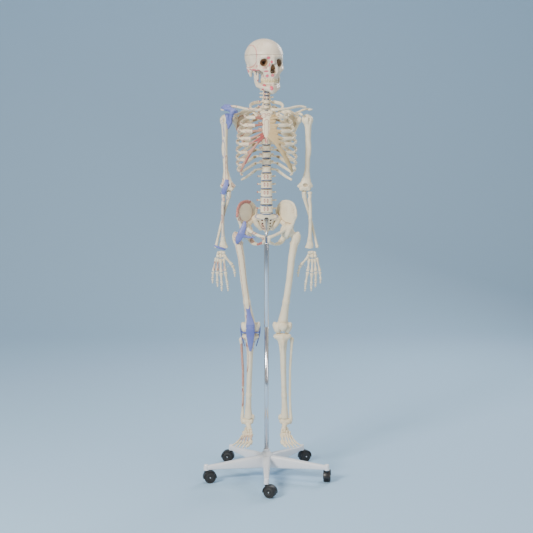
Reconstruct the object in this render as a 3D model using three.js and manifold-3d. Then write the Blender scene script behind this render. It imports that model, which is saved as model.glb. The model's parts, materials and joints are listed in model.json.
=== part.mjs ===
// A life-size classroom skeleton on a five-castor stand, as separate bones that hinge at their joints.
// Millimetres, +Z up. The skeleton faces -Y and its left side is +X. Each limb hangs from a pivot
// group at its joint, and the right side is the left side mirrored. The origin is the middle of the
// footprint, on the floor.
import * as THREE from "three";
import { mergeVertices } from "three/addons/utils/BufferGeometryUtils.js";
import Module from "manifold-3d";

const wasm = await Module();
wasm.setup();

// ---- Driving dimensions, from the floor and the pole's axis ----
const GAP = 0.5; // between pieces that touch
const BASE_REACH = 260; // pole to castor stem
const CASTOR = { wheel: 24, width: 13, web: 4, trail: 15, arm: 54 };
// The way each castor trails, anticlockwise from the front arm.
const CASTOR_HEADINGS = [-25, 84, 32, 172, 12];
const POLE = { lower: 9, upper: 10, wall: 1.5, foot: 62, joint: 637, top: 985 };
const SPINE = { sacrum: 1100, lumbar: 1262, thoracic: 1557, cervical: 1655 }; // top of each stretch
const HIP = [87, -2, 1030];
const KNEE = [66, 8, 628];
const ANKLE = [78, 12, 236];
const SHOULDER = [163, 30, 1478];
const ELBOW = [160, 30, 1200];
const WRIST = [189, 30, 945];
const HEAD = [-5, 2, 1656];
const HEAD_TURN = 24; // degrees to its left
const JAW = [0, -8, 14]; // from the head's pivot
const HEAD_RADIUS = { hip: 23.5, shoulder: 22, knee: 21.5, elbow: 9.5, ankle: 14, wrist: 11 };

const bone = new THREE.MeshStandardMaterial({ color: 0xe6ddcb, roughness: 0.5 });
const shell = new THREE.MeshStandardMaterial({ color: 0xe8e0d2, roughness: 0.4 });
const cartilage = new THREE.MeshStandardMaterial({ color: 0xc9b48a, roughness: 0.5 });
const steel = new THREE.MeshStandardMaterial({ color: 0xc8c8cc, roughness: 0.25, metalness: 1 });
const white = new THREE.MeshStandardMaterial({ color: 0xe9eaee, roughness: 0.4 });
const black = new THREE.MeshStandardMaterial({ color: 0x1b1b1d, roughness: 0.5 });
const disc = new THREE.MeshStandardMaterial({ color: 0x7c8fb0, roughness: 0.5 });

const X = new THREE.Vector3(1, 0, 0);
const radians = THREE.MathUtils.degToRad;

// ---- Solids ----

/** The closed surface of a three.js geometry as a solid that can be joined and cut. */
function solid(geometry) {
  const bare = geometry.clone();
  bare.deleteAttribute("normal");
  bare.deleteAttribute("uv");
  const merged = mergeVertices(bare, 1e-3);
  return new wasm.Manifold(
    new wasm.Mesh({
      numProp: 3,
      vertProperties: merged.attributes.position.array,
      triVerts: new Uint32Array(merged.index.array),
    }),
  );
}

const join = (first, ...others) => others.reduce((all, next) => all.add(next), first);
const cut = (from, ...tools) => tools.reduce((left, tool) => left.subtract(tool), from);

/**
 * A tapering bar through stations [x, y, z, half width, half depth], its width lying along an axis.
 * `fatter` grows it on every side, for cutting clearance around it.
 */
function bar(stations, sides = 8, along = X, fatter = 0) {
  const line = new THREE.CatmullRomCurve3(stations.map((s) => new THREE.Vector3(s[0], s[1], s[2])));
  const sizes = new THREE.CatmullRomCurve3(
    stations.map((s) => new THREE.Vector3(s[3] + fatter, (s[4] ?? s[3]) + fatter, 0)),
  );
  const geometry = new THREE.CylinderGeometry(1, 1, 1, sides, stations.length - 1);
  const place = geometry.attributes.position;
  for (let i = 0; i < place.count; i++) {
    const t = 0.5 - place.getY(i);
    const tangent = line.getTangent(t);
    const wide = along.clone().addScaledVector(tangent, -along.dot(tangent)).normalize();
    const deep = tangent.clone().cross(wide);
    const size = sizes.getPoint(t);
    const point = line.getPoint(t);
    if (t < 1e-6 || t > 1 - 1e-6) point.addScaledVector(tangent, t < 0.5 ? -fatter : fatter);
    point.addScaledVector(wide, place.getX(i) * size.x).addScaledVector(deep, place.getZ(i) * size.y);
    place.setXYZ(i, point.x, point.y, point.z);
  }
  return solid(geometry);
}

/** An ellipsoid. */
function blob(centre, radii, sides = 10, tilt = [0, 0, 0]) {
  const geometry = new THREE.SphereGeometry(1, sides, Math.round(sides * 0.6));
  geometry.scale(...radii).rotateX(radians(tilt[0])).rotateY(radians(tilt[1])).rotateZ(radians(tilt[2]));
  return solid(geometry.translate(...centre));
}

/** A drum whose axis lies along X, with a flat at the bottom. */
function drum(centre, radius, width, sides = 16) {
  const geometry = new THREE.CylinderGeometry(radius, radius, width, sides);
  return solid(geometry.rotateY(Math.PI / sides).rotateZ(Math.PI / 2).translate(...centre));
}

/** A block from its lowest to its highest corner. */
function block(low, high) {
  const size = high.map((h, i) => h - low[i]);
  return solid(new THREE.BoxGeometry(...size).translate(...low.map((l, i) => l + size[i] / 2)));
}

/** A turned piece about Z from a closed profile of [radius, height] points. */
function turned(profile, sides = 20) {
  const points = profile.map(([r, z]) => new THREE.Vector2(r, z));
  return solid(new THREE.LatheGeometry(points, sides).rotateX(Math.PI / 2));
}

// ---- Scene graph ----

const skeleton = new THREE.Group();

function pivot(parent, position, name) {
  const group = new THREE.Group();
  group.name = name;
  group.position.set(...position);
  parent.add(group);
  return group;
}

function piece(parent, name, body, material) {
  const { vertProperties, triVerts } = body.getMesh();
  const geometry = new THREE.BufferGeometry();
  geometry.setAttribute("position", new THREE.BufferAttribute(new Float32Array(vertProperties), 3));
  geometry.setIndex(new THREE.BufferAttribute(new Uint32Array(triVerts), 1));
  geometry.computeVertexNormals();
  const mesh = new THREE.Mesh(geometry, material);
  mesh.name = name;
  parent.add(mesh);
  return mesh;
}

const minus = (a, b) => a.map((v, i) => v - b[i]);

// ---- Stand ----

function starBase() {
  const hub = turned([[0, 40], [24, 40], [26, 60], [26, 98], [18, 112], [0, 112]], 16);
  const socket = turned([
    [0, POLE.foot - GAP], [POLE.lower + GAP, POLE.foot - GAP], [POLE.lower + GAP, 120], [0, 120],
  ]);
  const arms = CASTOR_HEADINGS.map((_, i) => {
    const arm = bar(
      [[0, -10, 68, 16, 28], [0, -24, 68, 16, 27], [0, -120, 66, 13, 19], [0, -BASE_REACH, 63.8, 10, 9]],
      6,
    );
    const boss = solid(
      new THREE.CylinderGeometry(9.5, 11, 24, 8).rotateX(Math.PI / 2).translate(
        0, -BASE_REACH, CASTOR.arm + 12,
      ),
    );
    return join(arm, boss).rotate([0, 0, i * 72]);
  });
  const stems = CASTOR_HEADINGS.map((_, i) =>
    solid(new THREE.CylinderGeometry(6.3, 6.3, 40, 8).rotateX(Math.PI / 2))
      .translate([0, -BASE_REACH, 53])
      .rotate([0, 0, i * 72]),
  );
  return cut(join(hub, ...arms), socket, ...stems);
}

/** Lower half: the web between the wheels; upper half: a fender over both, with the stem on top. */
function castorHood() {
  const { wheel, width, web, trail, arm } = CASTOR;
  const side = 2 * width + web;
  const outer = drum([0, trail, wheel], wheel + 3.5, side, 12);
  const hollow = join(
    drum([side / 2 + web / 2, trail, wheel], wheel + 1.9, side, 12),
    drum([-side / 2 - web / 2, trail, wheel], wheel + 1.9, side, 12),
  );
  const below = block([-40, -40, -10], [40, 60, wheel + 4]);
  const fender = cut(outer, hollow, below);
  const plate = drum([0, trail, wheel], 12, web, 8);
  const bore = drum([0, trail, wheel], 3.6, 20, 8);
  const boss = turned([[0, 30], [8, 30], [8, arm - 1], [0, arm - 1]], 8);
  const stem = turned([[0, arm - 2], [5.2, arm - 2], [5.2, 72], [0, 72]], 8);
  const body = block([-web / 2, -6, 22], [web / 2, trail, wheel + 22]);
  return cut(join(fender, plate, cut(boss, hollow), stem, body), bore);
}

/** Two wheels on their axle. */
function castorWheels() {
  const { wheel, width, web, trail } = CASTOR;
  const facets = 14;
  const corner = wheel / Math.cos(Math.PI / facets);
  const tyre = (side) => drum(
    [side * (web / 2 + width / 2 + 0.6), trail, wheel], corner, width - 1.2, facets,
  );
  return join(tyre(-1), tyre(1), drum([0, trail, wheel], 3, 2 * width + web, 8));
}

const stand = pivot(skeleton, [0, 0, 0], "stand");
piece(stand, "star_base", starBase(), white);
CASTOR_HEADINGS.forEach((heading, i) => {
  const turn = radians(i * 72);
  const caster = pivot(
    stand, [BASE_REACH * Math.sin(turn), -BASE_REACH * Math.cos(turn), 0], `castor_${i + 1}`,
  );
  caster.rotation.z = radians(heading - 90);
  piece(caster, `castor_hood_${i + 1}`, castorHood(), black);
  const axle = pivot(caster, [0, CASTOR.trail, CASTOR.wheel], `axle_${i + 1}`);
  piece(axle, `castor_wheels_${i + 1}`, castorWheels().translate([0, -CASTOR.trail, -CASTOR.wheel]), black);
});
function poleTube(profile, sides = 20) {
  return turned([...profile, profile[0]], sides);
}

function poleLower() {
  const { lower, wall, foot: bottom, joint: seam } = POLE;
  return poleTube([[lower - wall, bottom], [lower, bottom], [lower, seam + 50], [lower - wall, seam + 50]]);
}

function poleUpper() {
  const { lower, upper, joint: seam, top } = POLE;
  const [bore, mouth] = [lower + GAP, 4 + GAP];
  return poleTube([
    [bore, seam], [upper, seam], [upper, top], [mouth, top], [mouth, top - 6], [bore, top - 6],
  ]);
}

/** The thin rod in front of the sacrum, with its collar on the pole and its nut on top. */
function pelvisRod() {
  const { top } = POLE;
  const collar = [[4, top + GAP], [8, top + GAP], [8, top + 5], [4, top + 5]];
  return turned([[0, top - 30], [4, top - 30], ...collar, [4, 1080], [7, 1080], [7, 1087], [0, 1087]], 12);
}

piece(stand, "pole_lower", poleLower(), steel);
piece(stand, "pole_upper", poleUpper(), steel);
piece(stand, "pelvis_rod", pelvisRod(), steel);

// ---- Spine ----

/** Where the column runs: [height, y] from the sacrum to the skull. */
const COLUMN = new THREE.CatmullRomCurve3(
  [
    [1100, 4], [1115, -1], [1180, -9], [1277, 12], [1330, 26], [1387, 34], [1483, 28], [1557, 9],
    [1612, -2], [1655, 2],
  ].map(
    ([z, y]) => new THREE.Vector3(0, y, z),
  ),
);
function columnY(z) {
  let [low, high] = [0, 1];
  for (let i = 0; i < 20; i++) {
    const middle = (low + high) / 2;
    if (COLUMN.getPoint(middle).z < z) low = middle;
    else high = middle;
  }
  return COLUMN.getPoint(low).y;
}

/** Vertebrae between two heights; `at(t)` gives sizes from the lowest, t = 0, to the highest, t = 1. */
function vertebrae(count, bottom, topZ, at, fatter = 0) {
  const lumbar = count === 5;
  const sides = lumbar ? 8 : 6;
  const profile = lumbar ? [[0.08, 1], [0.5, 0.88], [0.92, 1]] : [[0.3, 1], [0.85, 0.88]];
  const stations = [[0, columnY(bottom), bottom, at(0).wide * 0.9, at(0).deep * 0.9]];
  const processes = [];
  let z = bottom;
  const growth = count === 12 ? 0.4 : 0.1; // the thoracic vertebrae differ most in height
  const weights = Array.from({ length: count }, (_, i) => 1 + growth * (0.5 - i / (count - 1)));
  const share = (topZ - bottom) / weights.reduce((a, b) => a + b, 0);
  weights.forEach((weight, i) => {
    const height = weight * share;
    const s = at(i / (count - 1));
    for (const [up, swell] of profile) {
      const level = z + height * up;
      stations.push([0, columnY(level), level, s.wide * swell, s.deep * swell]);
    }
    const middle = z + height / 2;
    const back = columnY(middle) + s.deep;
    processes.push(
      bar(
        [
          [0, back - 4, middle, 6, 6], [0, back + 14, middle, 3.6, s.tall],
          [0, back + s.spine, middle - s.drop, 3.6, 5],
        ],
        4, X, fatter,
      ),
      bar(
        [
          [-s.span, back + s.sweep, middle + 2, 4, 4], [0, back + 7, middle, 5.5, 5.5],
          [s.span, back + s.sweep, middle + 2, 4, 4],
        ],
        4, new THREE.Vector3(0, 0, 1), fatter,
      ),
    );
    z += height;
  });
  stations.push([0, columnY(topZ), topZ - GAP, at(1).wide * 0.9, at(1).deep * 0.9]);
  return join(bar(stations, sides, X, fatter), ...processes);
}

const mix = THREE.MathUtils.lerp;
const lumbarSizes = (t) => ({
  wide: mix(25, 21, t), deep: mix(17, 16, t), spine: 36, drop: 4, tall: 10, span: mix(44, 38, t), sweep: 2,
});
const thoracicSizes = (t) => ({
  wide: mix(19, 13, t), deep: mix(15, 11, t), spine: 38, drop: mix(10, 22, Math.sin(t * Math.PI)), tall: 6,
  span: mix(24, 34, t), sweep: 14,
});
const cervicalSizes = (t) => ({
  wide: mix(12, 11, t), deep: 8.5, spine: mix(34, 20, t), drop: mix(8, 2, t), tall: 5,
  span: mix(26, 18, t), sweep: 4,
});

/** Sacrum and coccyx: a curved wedge with its two wings. */
function sacrum(fatter = 0) {
  const body = bar(
    [
      [0, 6, 1099.5, 27, 17], [0, 12, 1088, 30, 16], [0, 24, 1072, 25, 12], [0, 38, 1054, 20, 9],
      [0, 46, 1038, 13, 7], [0, 48, 1024, 8, 5], [0, 42, 1006, 3.5, 3],
    ],
    8, X, fatter,
  );
  const wing = bar(
    [[8, 14, 1084, 12, 16], [34, 22, 1084, 14, 16], [50, 32, 1076, 11, 20]],
    6, new THREE.Vector3(0, 1, 0), fatter,
  );
  const crest = bar([[0, 34, 1090, 5, 5], [0, 48, 1068, 4, 7], [0, 54, 1045, 3, 5]], 4, X, fatter);
  return join(body, wing, wing.mirror([1, 0, 0]), crest);
}

const torso = pivot(skeleton, [0, 0, 0], "torso");
const nutRoom = turned([[0, 1000], [8, 1000], [8, 1087 + GAP], [0, 1087 + GAP]], 14);
piece(torso, "sacrum", cut(sacrum(), nutRoom), bone);
piece(
  torso, "lumbar_spine", cut(vertebrae(5, SPINE.sacrum + GAP, SPINE.lumbar, lumbarSizes), sacrum(GAP)),
  bone,
);
const thoracicColumn = (fatter) => vertebrae(12, SPINE.lumbar, SPINE.thoracic, thoracicSizes, fatter);
const lumbarColumn = vertebrae(5, SPINE.sacrum, SPINE.lumbar, lumbarSizes, GAP);
piece(torso, "thoracic_spine", cut(thoracicColumn(0), lumbarColumn), bone);
piece(
  torso,
  "cervical_spine",
  cut(vertebrae(7, SPINE.thoracic, SPINE.cervical, cervicalSizes), thoracicColumn(GAP)),
  bone,
);

// ---- Chest ----

function sternum(fatter = 0) {
  return bar(
    [
      [0, -42, 1513, 20, 5], [0, -45, 1498, 26, 6], [0, -50, 1478, 14, 5], [0, -58, 1455, 16, 5],
      [0, -66, 1432, 17, 5], [0, -72, 1415, 11, 4.5], [0, -75, 1404, 6, 3.5], [0, -79, 1385, 5, 2.5],
    ],
    8, X, fatter,
  );
}
piece(torso, "sternum", sternum(), bone);
piece(
  torso, "pubic_disc", bar([[0, -62, 1013, 3, 8], [0, -62, 1000, 3.4, 9], [0, -60, 987, 3, 7]], 8), disc,
);

/** Ribs 1 to 12: half width of the hoop, then x, y, z of the bone's front end. */
const RIBS = [
  [64, 36, -36, 1495], [88, 45, -56, 1488], [103, 47, -64, 1457], [111, 57, -68, 1434],
  [116, 64, -71, 1405], [119, 71, -72, 1383], [120, 76, -71, 1350], [120, 84, -65, 1321],
  [119, 94, -54, 1299], [116, 102, -38, 1275], [105, 96, 2, 1258], [103, 102, 34, 1236],
];
/** Where the cartilage of ribs 1 to 10 runs, from the bone's end to the breastbone or to the rib above. */
const CARTILAGES = [
  [[25, -41, 1495]], [[16, -50, 1483]], [[16, -57, 1460]], [[17, -64, 1438]],
  [[40, -75, 1415], [16, -69, 1426]], [[48, -79, 1395], [30, -79, 1405], [14, -73, 1417]],
  [[56, -81, 1364], [30, -80, 1394], [12, -76, 1409]], [[66, -77, 1345], [48, -81, 1370]],
  [[80, -68, 1320], [64, -78, 1347]], [[94, -56, 1293], [78, -69, 1321]],
];
const RIB_STEPS = 6;

function rib(number) {
  const [reach, endX, endY, endZ] = RIBS[number - 1];
  const pitch = (SPINE.thoracic - SPINE.lumbar) / 12;
  const head = SPINE.thoracic - 10 - (number - 1) * (pitch - 1.9 + 0.17 * number); // vertebrae grow downwards
  const spineY = columnY(head);
  const backY = spineY + (number === 1 ? 30 : 44);
  const start = radians(24);
  const side = Math.asin(endX / reach);
  const end = endY > 20 ? side : Math.PI - side;
  const depth = (backY - endY) / (1 - Math.cos(end));
  const levelling = mix(2.9, 2, number / 12); // most of a rib's drop is at the side
  const stations = [[15, spineY + 4, head + 4, 4, 4]];
  for (let i = 0; i <= RIB_STEPS; i++) {
    const t = i / RIB_STEPS;
    const angle = mix(start, end, t);
    stations.push([
      reach * Math.sin(angle),
      backY - depth * (1 - Math.cos(angle)),
      mix(head, endZ, number === 1 ? t * t : 1 - (1 - t) ** levelling),
      number > 10 ? mix(3.4, 2.6, t) : 3.6,
      number > 10 ? mix(5.5, 3.6, t) : 6.6,
    ]);
  }
  (CARTILAGES[number - 1] ?? []).forEach((point) => stations.push([...point, 3.6, 6]));
  return stations;
}

/** A rib's section stands on edge: its width lies across the hoop. */
const ribBar = (number) => bar(rib(number), 4, new THREE.Vector3(0.6, 0.8, 0));

function ribCage() {
  const strip = bar(
    [
      [29, -43, 1496, 4, 3.5], [20, -49, 1480, 4, 3.5], [20, -57, 1461, 4, 3.5], [21, -64, 1446, 4, 3.5],
      [20, -70, 1432, 4, 3.5], [16, -75, 1416, 4, 3.5], [12, -77, 1406, 3, 3],
    ],
    6,
  );
  const ribs = RIBS.slice(0, 10).map((_, i) => ribBar(i + 1));
  return cut(join(strip, ...ribs), sternum(1.6 * GAP), thoracicColumn(GAP));
}

// ---- Shoulder girdle and hip bone ----

function clavicle() {
  return bar(
    [
      [20, -42, 1519, 8, 7], [46, -46, 1519, 6, 5.5], [82, -32, 1522, 5.5, 5], [112, -8, 1529, 5.5, 5],
      [136, 10, 1532, 6, 5], [154, 20, 1528, 6, 4],
    ],
    8, new THREE.Vector3(0, 1, 0),
  );
}

function scapula() {
  const across = new THREE.Vector3(0.9, -0.43, 0).normalize();
  const blade = bar(
    [
      [88, 74, 1366, 6, 3], [92, 68, 1400, 18, 3], [98, 62, 1440, 28, 3], [101, 57, 1472, 34, 3.2],
      [97, 57, 1500, 28, 3], [88, 60, 1517, 12, 3],
    ],
    6, across,
  );
  const socket = bar(
    [[112, 46, 1474, 9, 11], [127, 36, 1476, 9, 13], [136.5, 30, 1478, 12, 17]], 6,
    new THREE.Vector3(0, 1, 0),
  );
  const spine = bar(
    [
      [72, 74, 1490, 3, 4], [104, 76, 1500, 5, 4], [140, 70, 1514, 9, 4], [166, 52, 1520, 13, 4.5],
      [176, 28, 1518, 12, 4], [173, 14, 1516, 7, 3.5],
    ],
    8, new THREE.Vector3(0.5, 0.8, 0),
  );
  const coracoid = bar(
    [[122, 42, 1486, 8, 7], [124, 24, 1502, 6, 6], [132, 6, 1502, 6, 5], [142, -4, 1496, 4, 4]], 6,
  );
  const web = bar([[106, 76, 1500, 4, 3], [106, 50, 1490, 5, 12]], 6);
  const room = blob(SHOULDER, [29, 29, 29], 10);
  return cut(join(blade, socket, spine, coracoid, web), room);
}

function hipBone() {
  const across = new THREE.Vector3(0.66, -0.75, 0);
  const wing = bar(
    [
      [88, 0, 1040, 26, 14], [76, 12, 1066, 36, 9], [74, 12, 1092, 54, 6], [79, 6, 1120, 61, 5],
      [81, 4, 1142, 52, 6], [82, 4, 1154, 28, 5],
    ],
    10, across,
  );
  const cup = blob(HIP, [33, 33, 33], 10);
  const pubis = bar(
    [[72, -24, 1026, 10, 9], [44, -46, 1018, 6, 6], [20, -60, 1011, 7, 7], [4, -62, 1004, 11, 8]], 6,
    new THREE.Vector3(0, 0, 1),
  );
  const ischium = bar(
    [
      [84, 14, 1020, 14, 12], [72, 26, 998, 12, 11], [58, 22, 982, 11, 10], [40, -6, 977, 7, 6],
      [20, -40, 984, 6, 5], [5, -58, 994, 7, 6],
    ],
    6,
  );
  const head = blob(HIP, [26.2, 26.2, 26.2], 10);
  const mouth = bar(
    [[HIP[0] + 2, HIP[1], HIP[2], 25, 25], [HIP[0] + 60, HIP[1] - 14, HIP[2] - 30, 44, 44]], 10,
    new THREE.Vector3(0, 1, 0),
  );
  const pit = drum([HIP[0] - 24, HIP[1], HIP[2]], 8, 9, 12);
  const middle = block([-30, -90, 960], [3.4 + GAP, -40, 1030]);
  return cut(join(wing, cup, pubis, ischium), head, mouth, pit, middle, sacrum(GAP));
}

// ---- Arm, from its pivots ----

function humerus() {
  const elbow = minus(ELBOW, SHOULDER);
  const ball = blob([0, 0, 0], Array(3).fill(HEAD_RADIUS.shoulder), 10);
  const tubercle = blob([10, -3, -1], [13, 15, 18], 8);
  const shaft = bar(
    [
      [4, 0, -8, 17, 16], [5, 0, -40, 12, 12], [5, 0, -120, 10.5, 10.5], [2, 0, -200, 10, 10.5],
      [elbow[0], 0, elbow[2] + 28, 21, 8], [elbow[0], 0, elbow[2] + 8, 29, 6.5],
    ],
    8,
  );
  return join(ball, tubercle, shaft, drum(elbow, HEAD_RADIUS.elbow, 42, 14));
}

function ulna() {
  const notch = drum([0, 0, 0], HEAD_RADIUS.elbow + 1.3, 60, 18);
  const hook = bar(
    [[-7, -4, -22, 9, 10], [-7, 6, -19, 10, 10], [-7, 16, -6, 10, 8], [-7, 17, 12, 8, 6]], 8,
  );
  const shaft = bar(
    [
      [-7, 0, -20, 10, 10], [-2, 6, -45, 7.5, 8], [10, 10, -90, 6.5, 6.5], [26, 12, -150, 6, 6],
      [38, 9, -200, 6, 6], [46, 3, -232, 6, 6], [47, 2, -239, 7, 7],
    ],
    8,
  );
  return cut(join(hook, shaft), notch);
}

function radius() {
  const end = minus(WRIST, ELBOW);
  const bore = drum(end, HEAD_RADIUS.wrist + 1.2, 90, 18);
  const shaft = bar(
    [
      [16, -1, -12, 9.5, 9.5], [16, -1, -18, 9.5, 9.5], [16.5, -4, -30, 6.5, 6.5], [18, -10, -90, 7, 6],
      [18, -10, -150, 7, 6], [17, -6, -205, 9, 7], [17, -1, -232, 15, 9], [17, 0, -243, 16.5, 9],
    ],
    8,
  );
  return cut(shaft, bore);
}

/** Rays of the hand from the wrist: base, knuckle, middle joint and tip. */
const FINGERS = {
  thumb: [[-17, -4, -14], [-50, -6, -58], [-59, -6, -85], [-60, -4, -107]],
  index: [[-14, 0, -30], [-20, -1, -85], [-28, 4, -134], [-31, 11, -169]],
  middle: [[-1, 0, -31], [-3, -2, -90], [-5, 4, -138], [-5, 12, -169]],
  ring: [[10, 0, -30], [13, -1, -84], [13, 4, -127], [12, 10, -152]],
  little: [[17, 1, -27], [30, 0, -86], [33, 4, -116], [32, 9, -136]],
};

function hand() {
  const carpus = bar([[0, 0, 4, 15, 8], [0, 0, -10, 21, 9], [0, 0, -24, 22, 8], [-1, 0, -36, 20, 7]], 10);
  const rays = Object.values(FINGERS).map(([base, knuckle, middle, tip]) =>
    bar([[...base, 5, 5], [...knuckle, 5.5, 5.5], [...middle, 4.5, 4.5], [...tip, 3, 3]], 4),
  );
  return join(carpus, drum([0, 0, 0], HEAD_RADIUS.wrist, 30, 12), ...rays);
}

// ---- Leg, from its pivots ----

function femur() {
  const knee = minus(KNEE, HIP);
  const ball = blob([0, 0, 0], Array(3).fill(HEAD_RADIUS.hip), 10);
  const neck = bar(
    [[4, 0, -2, 17, 16], [20, 2, -14, 14, 14], [36, 3, -26, 16, 14]], 8, new THREE.Vector3(0, 1, 0),
  );
  const trochanter = blob([39, 4, -20], [13, 15, 20], 8);
  const shaft = bar(
    [
      [32, 2, -20, 17, 15], [24, 0, -58, 18, 15], [16, -5, -110, 14.5, 14], [6, -8, -200, 13.5, 13.5],
      [-7, -6, -290, 14, 14], [-16, -2, -345, 19, 16], [knee[0], 5, knee[2] + 22, 34, 14],
      [knee[0], 8, knee[2] + 2, 37, 16],
    ],
    8,
  );
  const condyles = drum(knee, HEAD_RADIUS.knee, 74, 16);
  return join(ball, neck, trochanter, shaft, condyles);
}

function patella() {
  return blob([0, 0, 0], [20, 7, 21], 10);
}

function tibia() {
  const ankle = minus(ANKLE, KNEE);
  const shaft = bar(
    [
      [0, -2, -19, 35, 23], [0, -2, -34, 36, 24], [1, -7, -62, 23, 19], [2, -12, -98, 15, 16],
      [4, -8, -180, 13, 13], [7, -4, -280, 12, 12], [10, 0, -340, 14, 13],
      [ankle[0] - 4, 3, ankle[2] + 28, 17, 17], [ankle[0] - 4, 4, ankle[2] + 12, 18, 18],
    ],
    8,
  );
  const malleolus = bar(
    [[-8, 3, ankle[2] + 24, 7, 12], [-11, 3, ankle[2] + 10, 6, 12], [-10, 3, ankle[2] - 4, 4, 8]], 8,
  );
  const plateau = drum([0, 0, 0], HEAD_RADIUS.knee + 1.6, 90, 20);
  const mortise = drum([ankle[0], ankle[1], ankle[2]], HEAD_RADIUS.ankle + 1.3, 29, 18);
  return cut(join(shaft, malleolus), plateau, mortise);
}

function fibula() {
  return bar(
    [
      [38, 12, -43, 6, 6], [40, 12, -54, 9, 9], [37, 10, -72, 6, 6], [31, 8, -180, 5.5, 5.5],
      [31, 6, -280, 5.5, 5.5], [34, 6, -345, 7, 7], [35.5, 5, -382, 8, 12], [35.5, 5, -402, 6, 8],
    ],
    8,
  );
}

/** Rays of the foot from the ankle: base, ball and tip, with the ball's half width. */
const TOES = [
  [[-14, -44, -44], [-13, -112, -60], [4, -160, -66], 9],
  [[-5, -48, -40], [3, -118, -60], [18, -164, -67], 6],
  [[4, -46, -41], [16, -112, -62], [33, -154, -68], 6],
  [[12, -42, -45], [29, -104, -64], [47, -142, -69], 6],
  [[20, -36, -52], [42, -94, -65], [61, -126, -69], 6],
];

function foot() {
  const dome = drum([0, 0, 0], HEAD_RADIUS.ankle, 25, 14);
  const talus = bar([[0, 4, -6, 12, 9], [-3, -16, -14, 12, 10], [-6, -34, -28, 14, 11]], 6);
  const heel = bar(
    [[2, -8, -24, 12, 12], [2, 14, -34, 13, 16], [0, 36, -48, 14, 20], [-2, 50, -50, 12, 17]], 6,
  );
  const arch = bar([[2, -10, -30, 18, 14], [2, -32, -38, 23, 14], [3, -52, -46, 25, 10]], 6);
  const rays = TOES.map(([base, ball, tip, size]) =>
    bar([[...base, size * 0.75, 7], [...ball, size, size], [...tip, size * 0.6, size * 0.6]], 4),
  );
  return join(dome, talus, heel, arch, ...rays);
}

// ---- Both sides ----

function washer(offset) {
  return drum([-offset, 0, 0], 5, 2.4, 12);
}

for (const side of ["left", "right"]) {
  const half = pivot(skeleton, [0, 0, 0], side);
  if (side === "right") half.scale.x = -1;
  piece(half, `rib_cage_${side}`, ribCage(), cartilage);
  piece(half, `rib_11_${side}`, cut(ribBar(11), thoracicColumn(GAP)), bone);
  piece(half, `rib_12_${side}`, cut(ribBar(12), thoracicColumn(GAP), lumbarColumn), bone);
  piece(half, `clavicle_${side}`, cut(clavicle(), sternum(GAP)), bone);
  piece(half, `scapula_${side}`, scapula(), bone);
  piece(half, `hip_bone_${side}`, hipBone(), bone);

  const shoulder = pivot(half, SHOULDER, `shoulder_${side}`);
  piece(shoulder, `shoulder_swivel_${side}`, washer(HEAD_RADIUS.shoulder + 2), steel);
  piece(shoulder, `humerus_${side}`, humerus(), bone);
  const elbow = pivot(shoulder, minus(ELBOW, SHOULDER), `elbow_${side}`);
  piece(elbow, `ulna_${side}`, ulna(), bone);
  piece(elbow, `radius_${side}`, radius(), bone);
  const wrist = pivot(elbow, minus(WRIST, ELBOW), `wrist_${side}`);
  piece(wrist, `hand_${side}`, hand(), bone);

  const hip = pivot(half, HIP, `hip_${side}`);
  piece(hip, `hip_swivel_${side}`, washer(HEAD_RADIUS.hip + 1.8), steel);
  piece(hip, `femur_${side}`, femur(), bone);
  const kneecap = pivot(hip, minus([KNEE[0], KNEE[1] - 31, KNEE[2] + 12], HIP), `kneecap_${side}`);
  piece(kneecap, `patella_${side}`, patella(), bone);
  const knee = pivot(hip, minus(KNEE, HIP), `knee_${side}`);
  piece(knee, `tibia_${side}`, tibia(), bone);
  piece(knee, `fibula_${side}`, fibula(), bone);
  const ankle = pivot(knee, minus(ANKLE, KNEE), `ankle_${side}`);
  piece(ankle, `foot_${side}`, foot(), bone);
}

// ---- Skull, from the atlas ----

const VAULT = { centre: [0, 14, 72], radii: [72, 88, 70], wall: 5, rim: 76 };

function vault(inset) {
  const { centre, radii } = VAULT;
  return blob(centre, radii.map((r) => r - inset), 16);
}

/** Brain case below the rim with the face hung on its front. */
function cranium() {
  const above = block([-120, -120, VAULT.rim], [120, 140, 200]);
  const floor = block([-60, -80, 4], [60, 80, 22]);
  const face = bar(
    [
      [0, -54, 66, 50, 26], [0, -58, 40, 52, 27], [0, -60, 18, 36, 28], [0, -62, -6, 27, 24],
      [0, -62, -26, 24, 24],
    ],
    10,
  );
  const arch = (side) =>
    bar(
      [
        [side * 44, -62, 26, 8, 9], [side * 60, -44, 20, 4, 6], [side * 66, -14, 20, 3.5, 5],
        [side * 60, 10, 24, 5, 6],
      ],
      5, new THREE.Vector3(0, 1, 0),
    );
  const mastoid = (side) => bar(
    [[side * 52, 26, 28, 11, 13], [side * 52, 24, 8, 8, 8], [side * 50, 22, -4, 4, 4]], 6,
  );
  const orbit = (side) => bar([[side * 34, -100, 48, 20, 18], [side * 24, -52, 48, 12, 10]], 10);
  const nose = bar([[0, -100, 22, 13, 16], [0, -64, 22, 8, 10]], 8);
  const palate = bar([[0, -66, -30, 14, 18], [0, -54, -12, 13, 16]], 8);
  const frontFloor = block([-60, -80, 0], [60, -30, 64]);
  const brain = cut(vault(VAULT.wall), floor, frontFloor);
  const outside = join(vault(0), face, arch(1), arch(-1), mastoid(1), mastoid(-1));
  return cut(outside, above, brain, orbit(1), orbit(-1), nose, palate);
}

function skullCap() {
  const below = block([-120, -120, -60], [120, 140, VAULT.rim + GAP]);
  return cut(vault(0), vault(VAULT.wall), below);
}

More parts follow.
